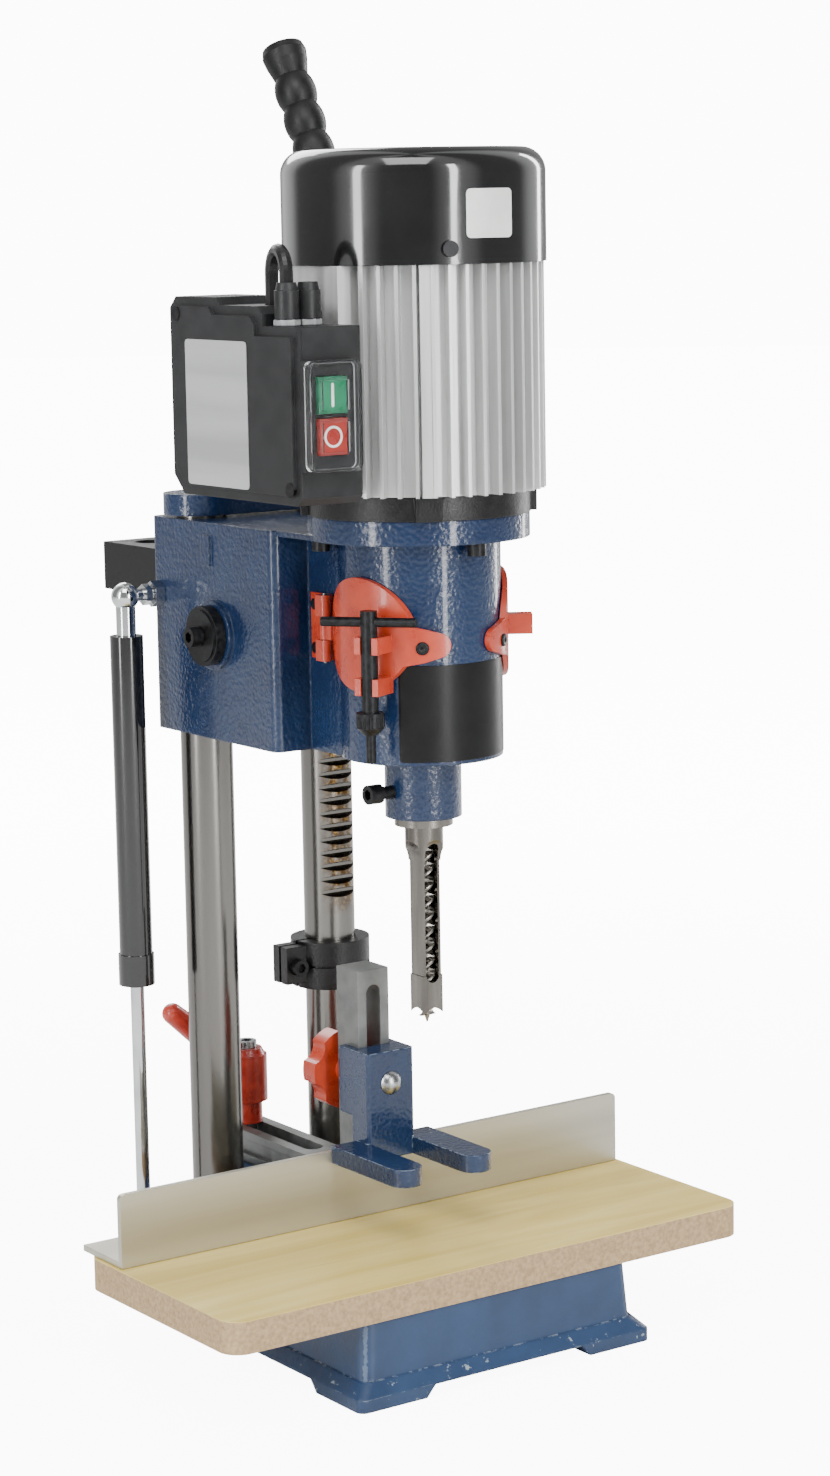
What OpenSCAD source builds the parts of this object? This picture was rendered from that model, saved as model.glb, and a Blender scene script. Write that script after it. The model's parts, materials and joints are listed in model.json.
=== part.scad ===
// Hollow chisel mortiser: a bench machine that drives an auger inside a square chisel.
// +Z is up and the bench is at Z = 0. The origin is the centre of the four bench bolts.

/* [Base] */
// Half width of the base at the bench
base_half = 98; // [92:1:110]
// From the spindle axis forward to the front of the base
base_front = 73; // [66:1:90]
// From the spindle axis back to the rear of the base
base_back = 204; // [200:1:225]
// Height of the base casting under the table
base_h = 45; // [40:1:60]
// Wall of the base casting
base_wall = 7; // [5:0.5:10]
// How far the foot flare stands out of the tapered body
foot_flare = 6; // [3:0.5:10]
// How far the base's top draws in above the flare
base_draft = 3; // [2:0.5:8]
// Height of the arches between the feet
arch_h = 6.5; // [3:0.5:10]
// Length of each foot
foot_len = 42; // [34:1:55]
// Bench bolt hole radius, tapped for M8 from below
bench_hole_r = 3.4; // [2.5:0.1:5]
// From the edge of the base in to each bench bolt
bench_inset = 20; // [18:0.5:24]

/* [Table and fence] */
// Half width of the table board
table_half = 172; // [150:1:200]
// From the spindle axis to the front of the table
table_front = 65; // [55:1:90]
// From the spindle axis to the rear of the table
table_back = 85; // [80:1:95]
// Thickness of the table board
table_t = 18; // [12:0.5:25]
// Rounding of the table's corners
table_r = 12; // [4:1:25]
// Half length of the fence
fence_half = 170; // [140:1:200]
// Height of the fence above the table
fence_h = 41.5; // [30:0.5:55]
// Thickness of the fence angle
fence_t = 3.5; // [2.5:0.5:6]
// Depth of the fence's foot flange
fence_flange = 42; // [30:1:50]
// From the spindle axis back to the fence face
fence_y = 49; // [44:0.5:60]
// Width of the fence slide bar
bar_w = 26; // [22:1:28]
// Height of the fence slide bar
bar_h = 19; // [14:0.5:24]
// Width of the slot in the slide bar
bar_slot = 12; // [10.5:0.5:14]

/* [Columns] */
// Radius of the two columns
column_r = 15; // [12.5:0.5:16]
// Half the distance between the column axes
column_x = 41; // [38:0.5:46]
// From the spindle axis back to the column axes
column_y = 158; // [150:1:165]
// Height of the sockets that hold the columns, above the base
socket_h = 14; // [10:1:40]
// Wall of the column sockets
socket_wall = 7; // [5:0.5:10]
// Radial running clearance of the head on the columns
column_clear = 0.05; // [0.02:0.01:0.1]
// Module of the rack and its pinion
gear_module = 2.5; // [2:0.25:2.75]
// Number of pinion teeth
pinion_teeth = 26; // [22:1:28]
// Number of gaps cut in the rack
rack_gaps = 29; // [24:1:31]

/* [Head] */
// Half width of the head casting's box
head_half = 61; // [60:0.5:66]
// From the spindle axis back to the front wall of the box
head_y0 = 52; // [48:1:58]
// From the spindle axis back to the rear wall of the box
head_y1 = 180; // [178:1:190]
// Height of the head's underside above the bench
head_z0 = 334; // [325:1:345]
// Height of the head casting's box
head_h = 122; // [115:1:130]
// Radius of the chuck housing
housing_r = 44; // [42:0.5:48]
// Inner radius of the chuck housing
housing_bore_r = 34; // [30:0.5:37]
// Half width of the neck that ties the housing to the box
neck_half = 38; // [34:0.5:41]
// Radius of the motor seat on top of the head
seat_r = 60; // [58:0.5:64]
// Thickness of the motor seat
seat_t = 13; // [10:0.5:16]
// Radius of the nose that holds the chisel
nose_r = 21; // [19:0.5:24]
// Length of the nose
nose_l = 34; // [28:1:40]
// Travel of the head
stroke = 90; // [80:1:95]

/* [Motor] */
// Thickness of the cast flange under the motor
flange_t = 13; // [10:0.5:18]
// Height of the finned housing
motor_h = 120; // [100:1:140]
// Radius over the fins
fin_r = 69; // [66:0.5:74]
// Radius at the root of the fins
fin_root_r = 61; // [58:0.5:62]
// Number of fin places round the housing
fin_count = 46; // [36:2:52]
// Bore that holds the stator
stator_r = 54; // [50:0.5:56]
// Outer radius of the fan cover
cover_r = 70.5; // [69.5:0.5:76]
// Height of the fan cover
cover_h = 60; // [50:1:70]
// Wall of the fan cover
cover_wall = 1.5; // [1:0.25:3]
// Rounding of the fan cover's top edge
cover_round = 13; // [6:1:18]
// Radius of the motor shaft
shaft_r = 8; // [6:0.5:9]

/* [Tooling] */
// Side of the square chisel
chisel_side = 12.7; // [9.5:0.1:16]
// Length of the chisel's square blade
chisel_l = 85; // [75:1:100]
// Radius of the chisel's round collar
chisel_collar_r = 10.5; // [9.5:0.5:13]
// Radius of the auger's flutes
auger_r = 5; // [3.5:0.1:5.2]
// Pitch of the auger's flutes
auger_pitch = 17; // [12:1:24]

/* [Lever] */
// Length of the lever from the pinion axis to the tip
lever_l = 374; // [300:1:380]
// Radius of the lever rod
lever_rod_r = 6; // [5:0.5:7]
// How far the lever leans back from upright
lever_lean = 27.5; // [15:0.5:35]
// Length of the ribbed grip
grip_l = 122; // [100:1:140]
// Radius of the grip's bulbs
grip_r = 13; // [11:0.5:16]
// Distance of the lever from the spindle plane
lever_x = 104; // [98:1:110]

/* [Switch box] */
// Length of the switch box
box_l = 124; // [110:1:135]
// Height of the switch box
box_h = 104; // [95:1:112]
// Depth of the switch box
box_d = 39; // [33:1:42]
// Outer face of the switch box, from the spindle axis
box_x = 117; // [112:0.5:118]
// Travel of the buttons
button_travel = 2.5; // [1.5:0.5:3.5]

/* [Gas strut and stops] */
// Radius of the strut cylinder
strut_r = 9.5; // [8:0.5:11]
// Radius of the strut rod
strut_rod_r = 4; // [3:0.5:5]
// Distance of the strut from the spindle plane
strut_x = 84; // [82:0.5:90]
// Outer radius of the depth stop collar
collar_r = 23.5; // [21:0.5:24]
// Height of the depth stop collar
collar_h = 28; // [20:1:34]
// Height of the depth stop collar's underside above the bench
collar_z = 172; // [168:1:190]
// Side of the hold-down post
post_w = 21; // [18:0.5:24]
// Height of the hold-down post's top above the bench
post_top = 204; // [195:1:215]

/* [Hidden] */
$fn = 48;
// Seat left between pieces that lie against each other
seat = 0.3;
// Overlap that makes cuts clean
eps = 0.5;
// The spindle stands in front of the bolt pattern's centre
spindle_back = (base_back - base_front) / 2;
bolt_x = base_half - bench_inset;
bolt_y = (base_front + base_back) / 2 - bench_inset;
// Table and fence heights
table_z1 = base_h + table_t;
fence_z0 = table_z1 + seat;
flange_top = fence_z0 + fence_t;
bar_z0 = flange_top + seat;
bar_z1 = bar_z0 + bar_h;
bar_y0 = fence_y + fence_t + seat;
bar_y1 = column_y + 72;
post_y = bar_y0 + post_w / 2;
post_z0 = bar_z1 + seat;
clamp_y = column_y + 31;
bed_z1 = bar_z0 - seat;
// Columns
socket_r = column_r + socket_wall;
socket_z1 = base_h + socket_h;
head_z1 = head_z0 + head_h;
column_z1 = head_z1 + 1.5;
// Rack and pinion
pitch_r = gear_module * pinion_teeth / 2;
tooth_pitch = PI * gear_module;
pitch_y = column_y - column_r + gear_module;
pinion_y = pitch_y - pitch_r;
pinion_z = head_z0 + 59.6;
rack_up = 7;
journal_r = 12.5;
// Heights of the motor
seat_z0 = head_z1 - 3;
seat_z1 = seat_z0 + seat_t;
flange_z1 = seat_z1 + flange_t;
motor_z1 = flange_z1 + motor_h;
cover_z1 = motor_z1 + cover_h;
motor_screw_at = [30, 150, 270];
motor_lug_at = [60, 150, 240, 330];
cover_screw_at = 250;
// Heights of the tooling
nose_z0 = head_z0 - nose_l;
bush_z0 = nose_z0 - 5;
bush_r = 16;
bush_bore_r = 9.5;
shoulder_z = bush_z0 - 20;
tip_z = shoulder_z - chisel_l;
chuck_z0 = head_z0 + 8;
chuck_z1 = seat_z0 - 32;
chuck_r = 21;
// Doors
door_t = 3;
door_r = housing_r + 0.6;
hinge_x = neck_half + 5.6;
hinge_y = 27.5;
door_z = head_z0 + 70;
hinge_h = 36;
door_mid = 10;
// Strut
strut_y = head_y1 - 8;
ball_r = 8;
stud_r = 3.6;
low_stud_x = column_x + socket_r + 1;
ball_z = head_z0 + 78;
strut_top = ball_z - 22.5;
strut_bottom = strut_top - 203;
bore_end = strut_top - 13;
low_ball_z = base_h + socket_h / 2 + 1.5;
// Switch box
box_y0 = -box_l / 2;
box_y1 = box_l / 2;
box_z0 = flange_z1 + 1;
box_z1 = box_z0 + box_h;
box_in = box_x - box_d;
notch_l = 38;
lower_top = 4;
lower_top_l = 78;
notch_h = 14;
boot_z0 = box_z0 + 17.5;
boot_h = 56;
boot_w = 31;
button_half_w = 8.5;
boot_d = 6;
panel_t = 4;
button_back = 1.5;
panel_x = box_x - 17.5;
gland_x = [box_x - 11, box_x - 24];
gland_y = box_y0 + 24;
gland_z = box_z1 - notch_h;
lead_r = 3.6;
lead_bend = 12;

// Puts children in the frame of the bench bolts, from the frame of the spindle axis
module at_spindle() { translate([0, -spindle_back, 0]) children(); }

// A flat rectangle with round corners, from its corners
module round_rect(x0, x1, y0, y1, r) {
  union() {
    translate([x0 + r, y0]) square([x1 - x0 - 2 * r, y1 - y0]);
    translate([x0, y0 + r]) square([x1 - x0, y1 - y0 - 2 * r]);
    for (x = [x0 + r, x1 - r], y = [y0 + r, y1 - r]) translate([x, y]) circle(r);
  }
}

// A plate with round corners
module round_plate(x0, x1, y0, y1, z0, z1, r) {
  translate([0, 0, z0]) linear_extrude(z1 - z0) round_rect(x0, x1, y0, y1, r);
}

// A box from its two corners
module block(a, b) { translate(a) cube([b[0] - a[0], b[1] - a[1], b[2] - a[2]]); }

// A cylinder along X, Y or Z from a start point
module rod_x(p, r, l) { translate(p) rotate([0, 90, 0]) cylinder(r = r, h = l); }
module rod_y(p, r, l) { translate(p) rotate([-90, 0, 0]) cylinder(r = r, h = l); }
module rod_z(p, r, l) { translate(p) cylinder(r = r, h = l); }

// A socket cap screw along Z, with its head at the top of the length l
module cap_screw(r, l, head_r, head_h) {
  cylinder(r = r, h = l + eps);
  translate([0, 0, l]) difference() {
    cylinder(r = head_r, h = head_h);
    translate([0, 0, head_h * 0.45]) cylinder(r = head_r * 0.58, h = head_h, $fn = 6);
  }
}

// Tapered shell of the base between two heights, drawn in by m
module base_taper(z0, z1, m) {
  hull() {
    round_plate(-base_half + foot_flare + m, base_half - foot_flare - m, -base_front + foot_flare + m,
      base_back - foot_flare - m, z0, z0 + 0.1, 8, $fn = 32);
    round_plate(-base_half + foot_flare + base_draft + m, base_half - foot_flare - base_draft - m,
      -base_front + foot_flare + base_draft + m, base_back - foot_flare - base_draft - m, z1 - 0.1, z1, 8, $fn = 32);
  }
}

module base_casting() { color("#24486f") at_spindle() {
  difference() {
    union() {
      base_taper(0, base_h, 0);
      hull() {
        round_plate(-base_half, base_half, -base_front, base_back, 0, 7, 5, $fn = 32);
        round_plate(-base_half + foot_flare, base_half - foot_flare, -base_front + foot_flare,
          base_back - foot_flare, 0, 14, 8, $fn = 32);
      }
      for (s = [-1, 1]) rod_z([s * column_x, column_y, base_h - 10], socket_r, socket_h + 10);
      block([-column_x, column_y - 14, base_h - 5], [column_x, column_y + 14, bed_z1]);
      rod_x([-low_stud_x, strut_y, low_ball_z], 8, 14);
      round_plate(-20, 20, column_y, clamp_y + 13, base_h - 5, bed_z1, 6);
    }
    difference() {
      base_taper(-1, base_h - base_wall, base_wall);
      for (x = [-bolt_x, bolt_x], y = [-bolt_y, bolt_y]) rod_z([x, y + spindle_back, -2], 11, base_h);
      for (s = [-1, 1]) rod_z([s * column_x, column_y, 8], socket_r, base_h);
      rod_z([0, clamp_y, 14], 12, base_h);
    }
    for (x = [-bolt_x, bolt_x], y = [-bolt_y, bolt_y])
      rod_z([x, y + spindle_back, -1], bench_hole_r, 26);
    for (s = [-1, 1]) rod_z([s * column_x, column_y, 14], column_r, base_h + socket_h);
    rod_z([0, clamp_y, 19], 5, base_h + 20);
    rod_x([-low_stud_x - 1, strut_y, low_ball_z], stud_r + 0.02, 11);
    for (x = [-60, 60], y = [-table_front + 25, table_back - 20])
      rod_z([x, y, base_h - base_wall - 1], 2.6, base_wall + 2);
    arch([-base_half - 1, 0, 0], 2 * base_half + 2, -base_front + foot_len, base_back - foot_len, 0);
    arch([0, -base_front - 1, 0], base_front + base_back + 2, -base_half + foot_len, base_half - foot_len, 90);
  }
} }

// The low arch between two feet, cut through along X or along Y
module arch(start, run, a, b, turn) {
  if (turn == 0) translate(start) rotate([90, 0, 90]) linear_extrude(run)
    polygon([[a, -1], [b, -1], [b - arch_h, arch_h], [a + arch_h, arch_h]]);
  else translate([0, start[1] + run, 0]) rotate([90, 0, 0]) linear_extrude(run)
    polygon([[a, -1], [b, -1], [b - arch_h, arch_h], [a + arch_h, arch_h]]);
}

module table_board() { color("#e3cf9a") at_spindle() difference() {
  round_plate(-table_half, table_half, -table_front, table_back, base_h + 0.05, table_z1, table_r);
  for (x = [-60, 60], y = [-table_front + 25, table_back - 20]) rod_z([x, y, base_h - 1], 2.1, 13);
} }

module table_screws() { color("#8d9094") at_spindle()
  for (x = [-60, 60], y = [-table_front + 25, table_back - 20])
    translate([x, y, base_h + 10]) mirror([0, 0, 1])
      cap_screw(2, base_wall + 10, 4.2, 3.5);
}

module fence_angle() { color("#c9cbca") at_spindle() difference() {
  union() {
    translate([0, fence_y + fence_t, 0]) rotate([90, 0, 0]) linear_extrude(fence_t)
      round_rect(-fence_half, fence_half, fence_z0, table_z1 + fence_h, 3);
    block([-fence_half, fence_y, fence_z0], [fence_half, fence_y + fence_flange, flange_top]);
  }
  for (y = [post_y, post_y + 12]) countersink(y, 0.05);
} }

// Countersunk hole through the flange, grown by c
module countersink(y, c) {
  rod_z([0, y, fence_z0 - 1], 3 + c, fence_t + 3);
  translate([0, y, fence_z0 + 0.2]) cylinder(r1 = 5.6 + c, r2 = 3 + c, h = 2.6);
  if (c > 0) rod_z([0, y, fence_z0 - 1], 5.6 + c, 1.2);
}

module fence_slide_bar() { color("#8f9391") at_spindle() difference() {
  translate([0, 0, bar_z0]) linear_extrude(bar_h) round_rect(-bar_w / 2, bar_w / 2, bar_y0, bar_y1, 4);
  translate([0, 0, bar_z0 - 1]) linear_extrude(bar_h + 2)
    round_rect(-bar_slot / 2, bar_slot / 2, bar_y0 + 60, bar_y1 - 12, bar_slot / 2 - 0.01);
  for (s = [-1, 1]) block([s * (bar_w / 2 - 1.5) - 1.6, bar_y0 + 40, bar_z0 + 5],
    [s * (bar_w / 2 - 1.5) + 1.6, bar_y1 - 14, bar_z1 - 5]);
  for (y = [post_y, post_y + 12]) rod_z([0, y, bar_z0 - 1], 3.05, bar_h + 2);
} }

module fence_screws() { color("#6d7074") at_spindle() {
  translate([0, post_y, fence_z0 + 0.2]) { cylinder(r1 = 5.6, r2 = 3, h = 2.6); cylinder(r = 3, h = bar_h + 16); }
  translate([0, post_y + 12, fence_z0 + 0.2]) { cylinder(r1 = 5.6, r2 = 3, h = 2.6); cylinder(r = 3, h = bar_h); }
} }

module holddown_post() { color("#8f9391") at_spindle() difference() {
  block([-post_w / 2, post_y - post_w / 2, post_z0], [post_w / 2, post_y + post_w / 2, post_top]);
  translate([0, post_y + post_w, 0]) rotate([90, 0, 0]) linear_extrude(2 * post_w)
    round_rect(-4.75, 4.75, post_z0 + 22, post_top - 9, 4.74);
  rod_z([0, post_y, post_z0 - 1], 3.05, 15);
} }

// Hold-down bracket sizes
bracket_top = 160;
bracket_z0 = 98;
prong_t = 10;
prong_gap = 28;
prong_w = 19;
prong_tip = -19;
clamp_z = 141.5;
bracket_half = post_w / 2 + 5.3;
bracket_front = fence_y - 12.5;
module holddown_bracket() { color("#24486f") at_spindle() difference() {
  union() {
    translate([0, 0, bracket_z0]) linear_extrude(bracket_top - bracket_z0)
      round_rect(-bracket_half, bracket_half, bracket_front, fence_y - seat, 2);
    block([-bracket_half, bracket_front + 3, 122], [bracket_half, post_y + 2, bracket_top]);
    block([-bracket_half, bracket_front + 3, table_z1 + fence_h + 1], [bracket_half, bar_y0 - 0.1, bracket_top]);
    for (s = [-1, 1]) translate([0, 0, bracket_z0]) linear_extrude(prong_t) union() {
      translate([s * (prong_gap + prong_w) / 2 - prong_w / 2, prong_tip + prong_w / 2])
        square([prong_w, fence_y - seat - prong_tip - prong_w / 2]);
      translate([s * (prong_gap + prong_w) / 2, prong_tip + prong_w / 2]) circle(prong_w / 2);
    }
    translate([0, 0, bracket_z0]) linear_extrude(prong_t)
      square_from(-(prong_gap / 2 + prong_w), prong_gap / 2 + prong_w, bracket_front, fence_y - seat);
  }
  block([-post_w / 2 - seat, bar_y0 - seat / 2, bracket_z0 - 1], [post_w / 2 + seat, post_y + 30, bracket_top + 1]);
  rod_y([0, bracket_front - 1, clamp_z], 4.1, 40);
} }

// A flat rectangle from its edges
module square_from(x0, x1, y0, y1) { translate([x0, y0]) square([x1 - x0, y1 - y0]); }

module holddown_bolt() { color("#c4c7c9") at_spindle() {
  rod_y([0, bracket_front - 0.2, clamp_z], 4, post_y + post_w / 2 + 14 - bracket_front);
  intersection() {
    translate([0, bracket_front + 3.2, clamp_z]) sphere(7.6);
    rod_y([0, bracket_front - 6, clamp_z], 7, 5.8);
  }
} }

knob_y = post_y + post_w / 2 + seat;
knob_r = 23.5;
module holddown_knob() { color("#e2492a") at_spindle() difference() {
  translate([0, knob_y + 17, clamp_z]) rotate([90, 0, 0]) union() {
    linear_extrude(12) difference() {
      circle(knob_r);
      for (i = [0 : 5]) rotate(i * 60 + 30) translate([knob_r + 5.5, 0]) circle(9);
    }
    cylinder(r = 9, h = 17);
    translate([0, 0, -2]) cylinder(r = 13, h = 3);
  }
  rod_y([0, knob_y - 1, clamp_z], 4.06, 16.5);
} }

module clamp_lever() { color("#c43a28") at_spindle() difference() {
  union() {
    translate([0, clamp_y, bar_z1 + seat]) cylinder(r = 8.5, h = 15);
    translate([0, clamp_y, bar_z1 + 14]) cylinder(r = 12, h = 28);
    hull() {
      translate([-2, clamp_y, bar_z1 + 32]) sphere(9, $fn = 24);
      translate([-46, clamp_y + 8, bar_z1 + 72]) sphere(6.3, $fn = 24);
    }
    translate([0, clamp_y, bar_z1 + 40]) cylinder(r1 = 12, r2 = 9, h = 6);
  }
  rod_z([0, clamp_y, bar_z1 - 1], 5.05, 60);
  rod_z([0, clamp_y, bar_z1 + 43], 6.3, 30);
} }

module clamp_stud() { color("#a7aaac") at_spindle() difference() {
  union() {
    rod_z([0, clamp_y, 21], 4.95, bar_z1 + 24);
    rod_z([0, clamp_y, bar_z1 + 43.2], 6, 7);
  }
  translate([0, clamp_y, bar_z1 + 46]) cylinder(r = 3.4, h = 8, $fn = 6);
} }

module plain_column() { color("#b4b7b9") at_spindle() difference() {
  rod_z([-column_x, column_y, 14.2], column_r - 0.01, column_z1 - 14.2);
  rod_z([-column_x, column_y, column_z1 - 20], 4.25, 22);
} }

// One gap of the rack: a trapezoid with 20 degree flanks, cut straight across the front of the column
module rack_gap(z) {
  w = tooth_pitch / 4;
  tan20 = tan(20);
  translate([column_x - 20, pitch_y, z]) rotate([90, 0, 90]) linear_extrude(40)
    polygon([[-4, -w - 4 * tan20], [1.25 * gear_module, -w + 1.25 * gear_module * tan20],
      [1.25 * gear_module, w - 1.25 * gear_module * tan20], [-4, w + 4 * tan20]]);
}

module rack_column() { color("#b4b7b9") at_spindle() difference() {
  rod_z([column_x, column_y, 14.2], column_r - 0.01, column_z1 - 14.2);
  rod_z([column_x, column_y, column_z1 - 20], 4.25, 22);
  for (i = [0 : rack_gaps - 1]) rack_gap(pinion_z + (rack_up - i) * tooth_pitch);
} }

module column_bridge() { color("#24486f") at_spindle() difference() {
  translate([0, 0, column_z1 + 0.05]) linear_extrude(12) both_columns(socket_r - 1);
  for (s = [-1, 1]) {
    rod_z([s * column_x, column_y, column_z1 - 1], 4.1, 20);
    rod_z([s * column_x, column_y, column_z1 + 7], 7.5, 10);
  }
} }

// A flat slot shape round both columns
module both_columns(r) {
  for (s = [-1, 1]) translate([s * column_x, column_y]) circle(r);
  translate([-column_x, column_y - r]) square([2 * column_x, 2 * r]);
}

module bridge_screws() { color("#2a2b2d") at_spindle() for (s = [-1, 1])
  translate([s * column_x, column_y, column_z1 - 18]) cap_screw(4, 25.2, 6.5, 5);
}

module stop_collar() { color("#232426") at_spindle() difference() {
  union() {
    rod_z([column_x, column_y, collar_z], collar_r, collar_h * 0.46);
    rod_z([column_x, column_y, collar_z], collar_r - 1.5, collar_h * 0.54);
    rod_z([column_x, column_y, collar_z + collar_h * 0.5], collar_r, collar_h * 0.5);
    block([column_x - collar_r - 12, column_y - 7.5, collar_z + 4],
      [column_x - column_r, column_y + 7.5, collar_z + collar_h - 2]);
  }
  rod_z([column_x, column_y, collar_z - 1], column_r + 0.03, collar_h + 2);
  block([column_x - collar_r - 13, column_y - 1, collar_z - 1], [column_x - 5, column_y + 1, collar_z + collar_h + 1]);
  rod_y([column_x - collar_r - 5, column_y - 9, collar_z + collar_h / 2], 3.05, 20);
} }

module collar_screw() { color("#45474a") at_spindle()
  translate([column_x - collar_r - 5, column_y + 7, collar_z + collar_h / 2]) rotate([90, 0, 0])
    cap_screw(3, 14.6, 5, 5);
}

// Left and right windows in the chuck housing, with a round-ended outline
module door_window(s) {
  rotate([0, 0, s > 0 ? -door_mid : 180 + door_mid]) translate([0, 0, door_z]) rotate([0, 90, 0])
    linear_extrude(housing_r + 10) union() {
      square([30, 40], center = true);
      square([40, 30], center = true);
      for (x = [-15, 15], y = [-15, 15]) translate([x, y]) circle(5);
    }
}

module head_casting() { color("#24486f") at_spindle() difference() {
  union() {
    translate([0, 0, head_z0]) linear_extrude(head_h) round_rect(-head_half, head_half, head_y0, head_y1, 5);
    translate([0, 0, head_z0]) linear_extrude(head_h) square_from(-neck_half, neck_half, 0, head_y0 + 8);
    rod_z([0, 0, head_z0], housing_r, seat_z0 - head_z0 + 1);
    rod_z([0, 0, seat_z0], seat_r, seat_t);
    translate([0, 0, seat_z0]) linear_extrude(3) square_from(-seat_r + 2, seat_r - 2, 0, head_y0 + 12);
    rod_z([0, 0, nose_z0], nose_r, nose_l + 1);
    translate([0, 0, head_z0 - 0.01]) cylinder(r1 = nose_r, r2 = nose_r + 3, h = 0.02);
    rod_x([-head_half - 3, pinion_y, pinion_z], journal_r + 7, 2 * head_half + 6);
    block([-head_half - 1.6, pinion_y + 2, head_z1 - 24], [-head_half + 1, pinion_y + 11, head_z1 - 7]);
  }
  // Bores for the columns, from below up to the open top
  for (s = [-1, 1]) rod_z([s * column_x, column_y, head_z0 - 1], column_r + column_clear - 0.01, head_h + 2);
  // Hollow of the casting, open below
  block([-19, head_y0 + 8, head_z0 - 1], [column_x - 22, head_y1 - 8, head_z1 - 9]);
  // Room for the pinion, open to the rack
  rod_x([column_x - 19, pinion_y, pinion_z], pitch_r + gear_module + 1.2, 37);
  // Journals of the pinion shaft
  rod_x([-head_half - 10, pinion_y, pinion_z], journal_r + 0.05, 2 * head_half + 30);
  // Chuck space, bearing seat and chisel bore
  rod_z([0, 0, head_z0 + 4], housing_bore_r, seat_z0 - head_z0 - 30);
  rod_z([0, 0, seat_z0 - 27], 20.02, 60);
  rod_z([0, 0, nose_z0 - 1], 13.02, 60);
  for (s = [-1, 1]) door_window(s);
  // Chisel lock screw and motor screws
  rod_x([-nose_r - 5, 0, nose_z0 + 15], 3.55, nose_r);
  for (a = motor_screw_at) rotate([0, 0, a]) rod_z([seat_r - 7, 0, seat_z0 - 20], 3.3, seat_t + 40);
  // Thread for the strut's upper ball stud
  rod_x([-head_half - 1, strut_y, ball_z], stud_r + 0.02, 11);
  // Seat of the rack wiper
  rod_z([column_x, column_y, head_z0 - 1], column_r + 3.55, 5);
} }

// Involute pinion: flanks are unwound from the base circle, then repeated round the shaft
function involute(rb, t) = [rb * (cos(t) + t * PI / 180 * sin(t)), rb * (sin(t) - t * PI / 180 * cos(t))];
function turned(p, a) = [p[0] * cos(a) - p[1] * sin(a), p[0] * sin(a) + p[1] * cos(a)];
module gear_2d(m, n) {
  rp = m * n / 2;
  rb = rp * cos(20);
  ra = rp + 0.95 * m;
  rr = rp - 1.2 * m;
  t_p = sqrt(pow(rp / rb, 2) - 1) * 180 / PI;
  t_a = sqrt(pow(ra / rb, 2) - 1) * 180 / PI;
  half = 90 / n - 0.35 + t_p - atan(t_p * PI / 180);
  flank = [for (i = [0 : 4]) turned(involute(rb, t_a * i / 4), -half)];
  back = [for (i = [4 : -1 : 0]) let (p = turned(involute(rb, t_a * i / 4), -half)) [p[0], -p[1]]];
  circle(rr + 0.02);
  for (k = [0 : n - 1]) rotate(k * 360 / n)
    polygon(concat([[rr - 1, -rr * sin(half)]], flank, back, [[rr - 1, rr * sin(half)]]));
}

module pinion_shaft() { color("#9a9da0") at_spindle() union() {
  difference() {
    rod_x([-head_half - 3, pinion_y, pinion_z], journal_r, head_half + lever_x - 12);
    rod_x([-head_half - 4, pinion_y, pinion_z], 3.4, 16);
  }
  translate([column_x - 17.5, pinion_y, pinion_z]) rotate([90, 0, 90]) linear_extrude(34)
    gear_2d(gear_module, pinion_teeth);
} }

module pinion_washer() { color("#1f2022") at_spindle() difference() {
  union() {
    rod_x([-head_half - 3.3 - 6, pinion_y, pinion_z], 16.8, 6);
    rod_x([-head_half - 3.3 - 7, pinion_y, pinion_z], 14.6, 2);
  }
  rod_x([-head_half - 12, pinion_y, pinion_z], 3.6, 14);
} }

module pinion_screw() { color("#1f2022") at_spindle()
  translate([-head_half + 6, pinion_y, pinion_z]) rotate([0, -90, 0]) cap_screw(3.3, 16.6, 5.6, 7);
}

// Puts children in the lever's frame, with +Z along the lever from the pinion axis
module on_lever() { translate([lever_x, pinion_y, pinion_z]) rotate([-lever_lean, 0, 0]) children(); }

module lever_hub() { color("#1f2022") at_spindle() difference() {
  union() {
    rod_x([lever_x - 27, pinion_y, pinion_z], 17, 27 + 12);
    on_lever() cylinder(r = 11, h = 30);
  }
  rod_x([lever_x - 28, pinion_y, pinion_z], journal_r + 0.03, 15.2);
  on_lever() translate([0, 0, 8]) cylinder(r = lever_rod_r + 0.02, h = 30);
} }

module lever_rod() { color("#b9bcbe") at_spindle() on_lever()
  translate([0, 0, 8.2]) cylinder(r = lever_rod_r, h = lever_l - 8.2 - 14);
}

// Grip: five bulbs with shallow waists and a flared end, as one revolved outline
bulbs = 5;
grip_flare = 22;
bulb = (grip_l - grip_flare) / bulbs;
bulb_arc = 21;
module lever_grip() { color("#1c1d1f") at_spindle() on_lever() translate([0, 0, lever_l - grip_l])
  difference() {
    rotate_extrude() union() {
      square([grip_r - 4.6, grip_l - 5]);
      for (i = [0 : bulbs - 1]) translate([0, bulb * (i + 0.5)]) intersection() {
        translate([grip_r - 0.2 - bulb_arc, 0]) circle(bulb_arc);
        square_from(0, grip_r, -bulb / 2, bulb / 2);
      }
      translate([0, grip_l - grip_flare]) polygon([[0, 0], [grip_r - 2.6, 0], [grip_r - 1.4, 5],
        [grip_r, 10], [grip_r + 0.9, 16], [grip_r - 0.3, 20.5], [grip_r - 4, grip_flare - 0.4], [0, grip_flare]]);
    }
    translate([0, 0, -1]) cylinder(r = lever_rod_r + 0.02, h = grip_l - 12.7);
  }
}

module rack_wiper() { color("#d9502c") at_spindle() difference() {
  rod_z([column_x, column_y, head_z0 - 3], column_r + 3.5, 7);
  rod_z([column_x, column_y, head_z0 - 4], column_r + 0.4, 9);
} }

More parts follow.
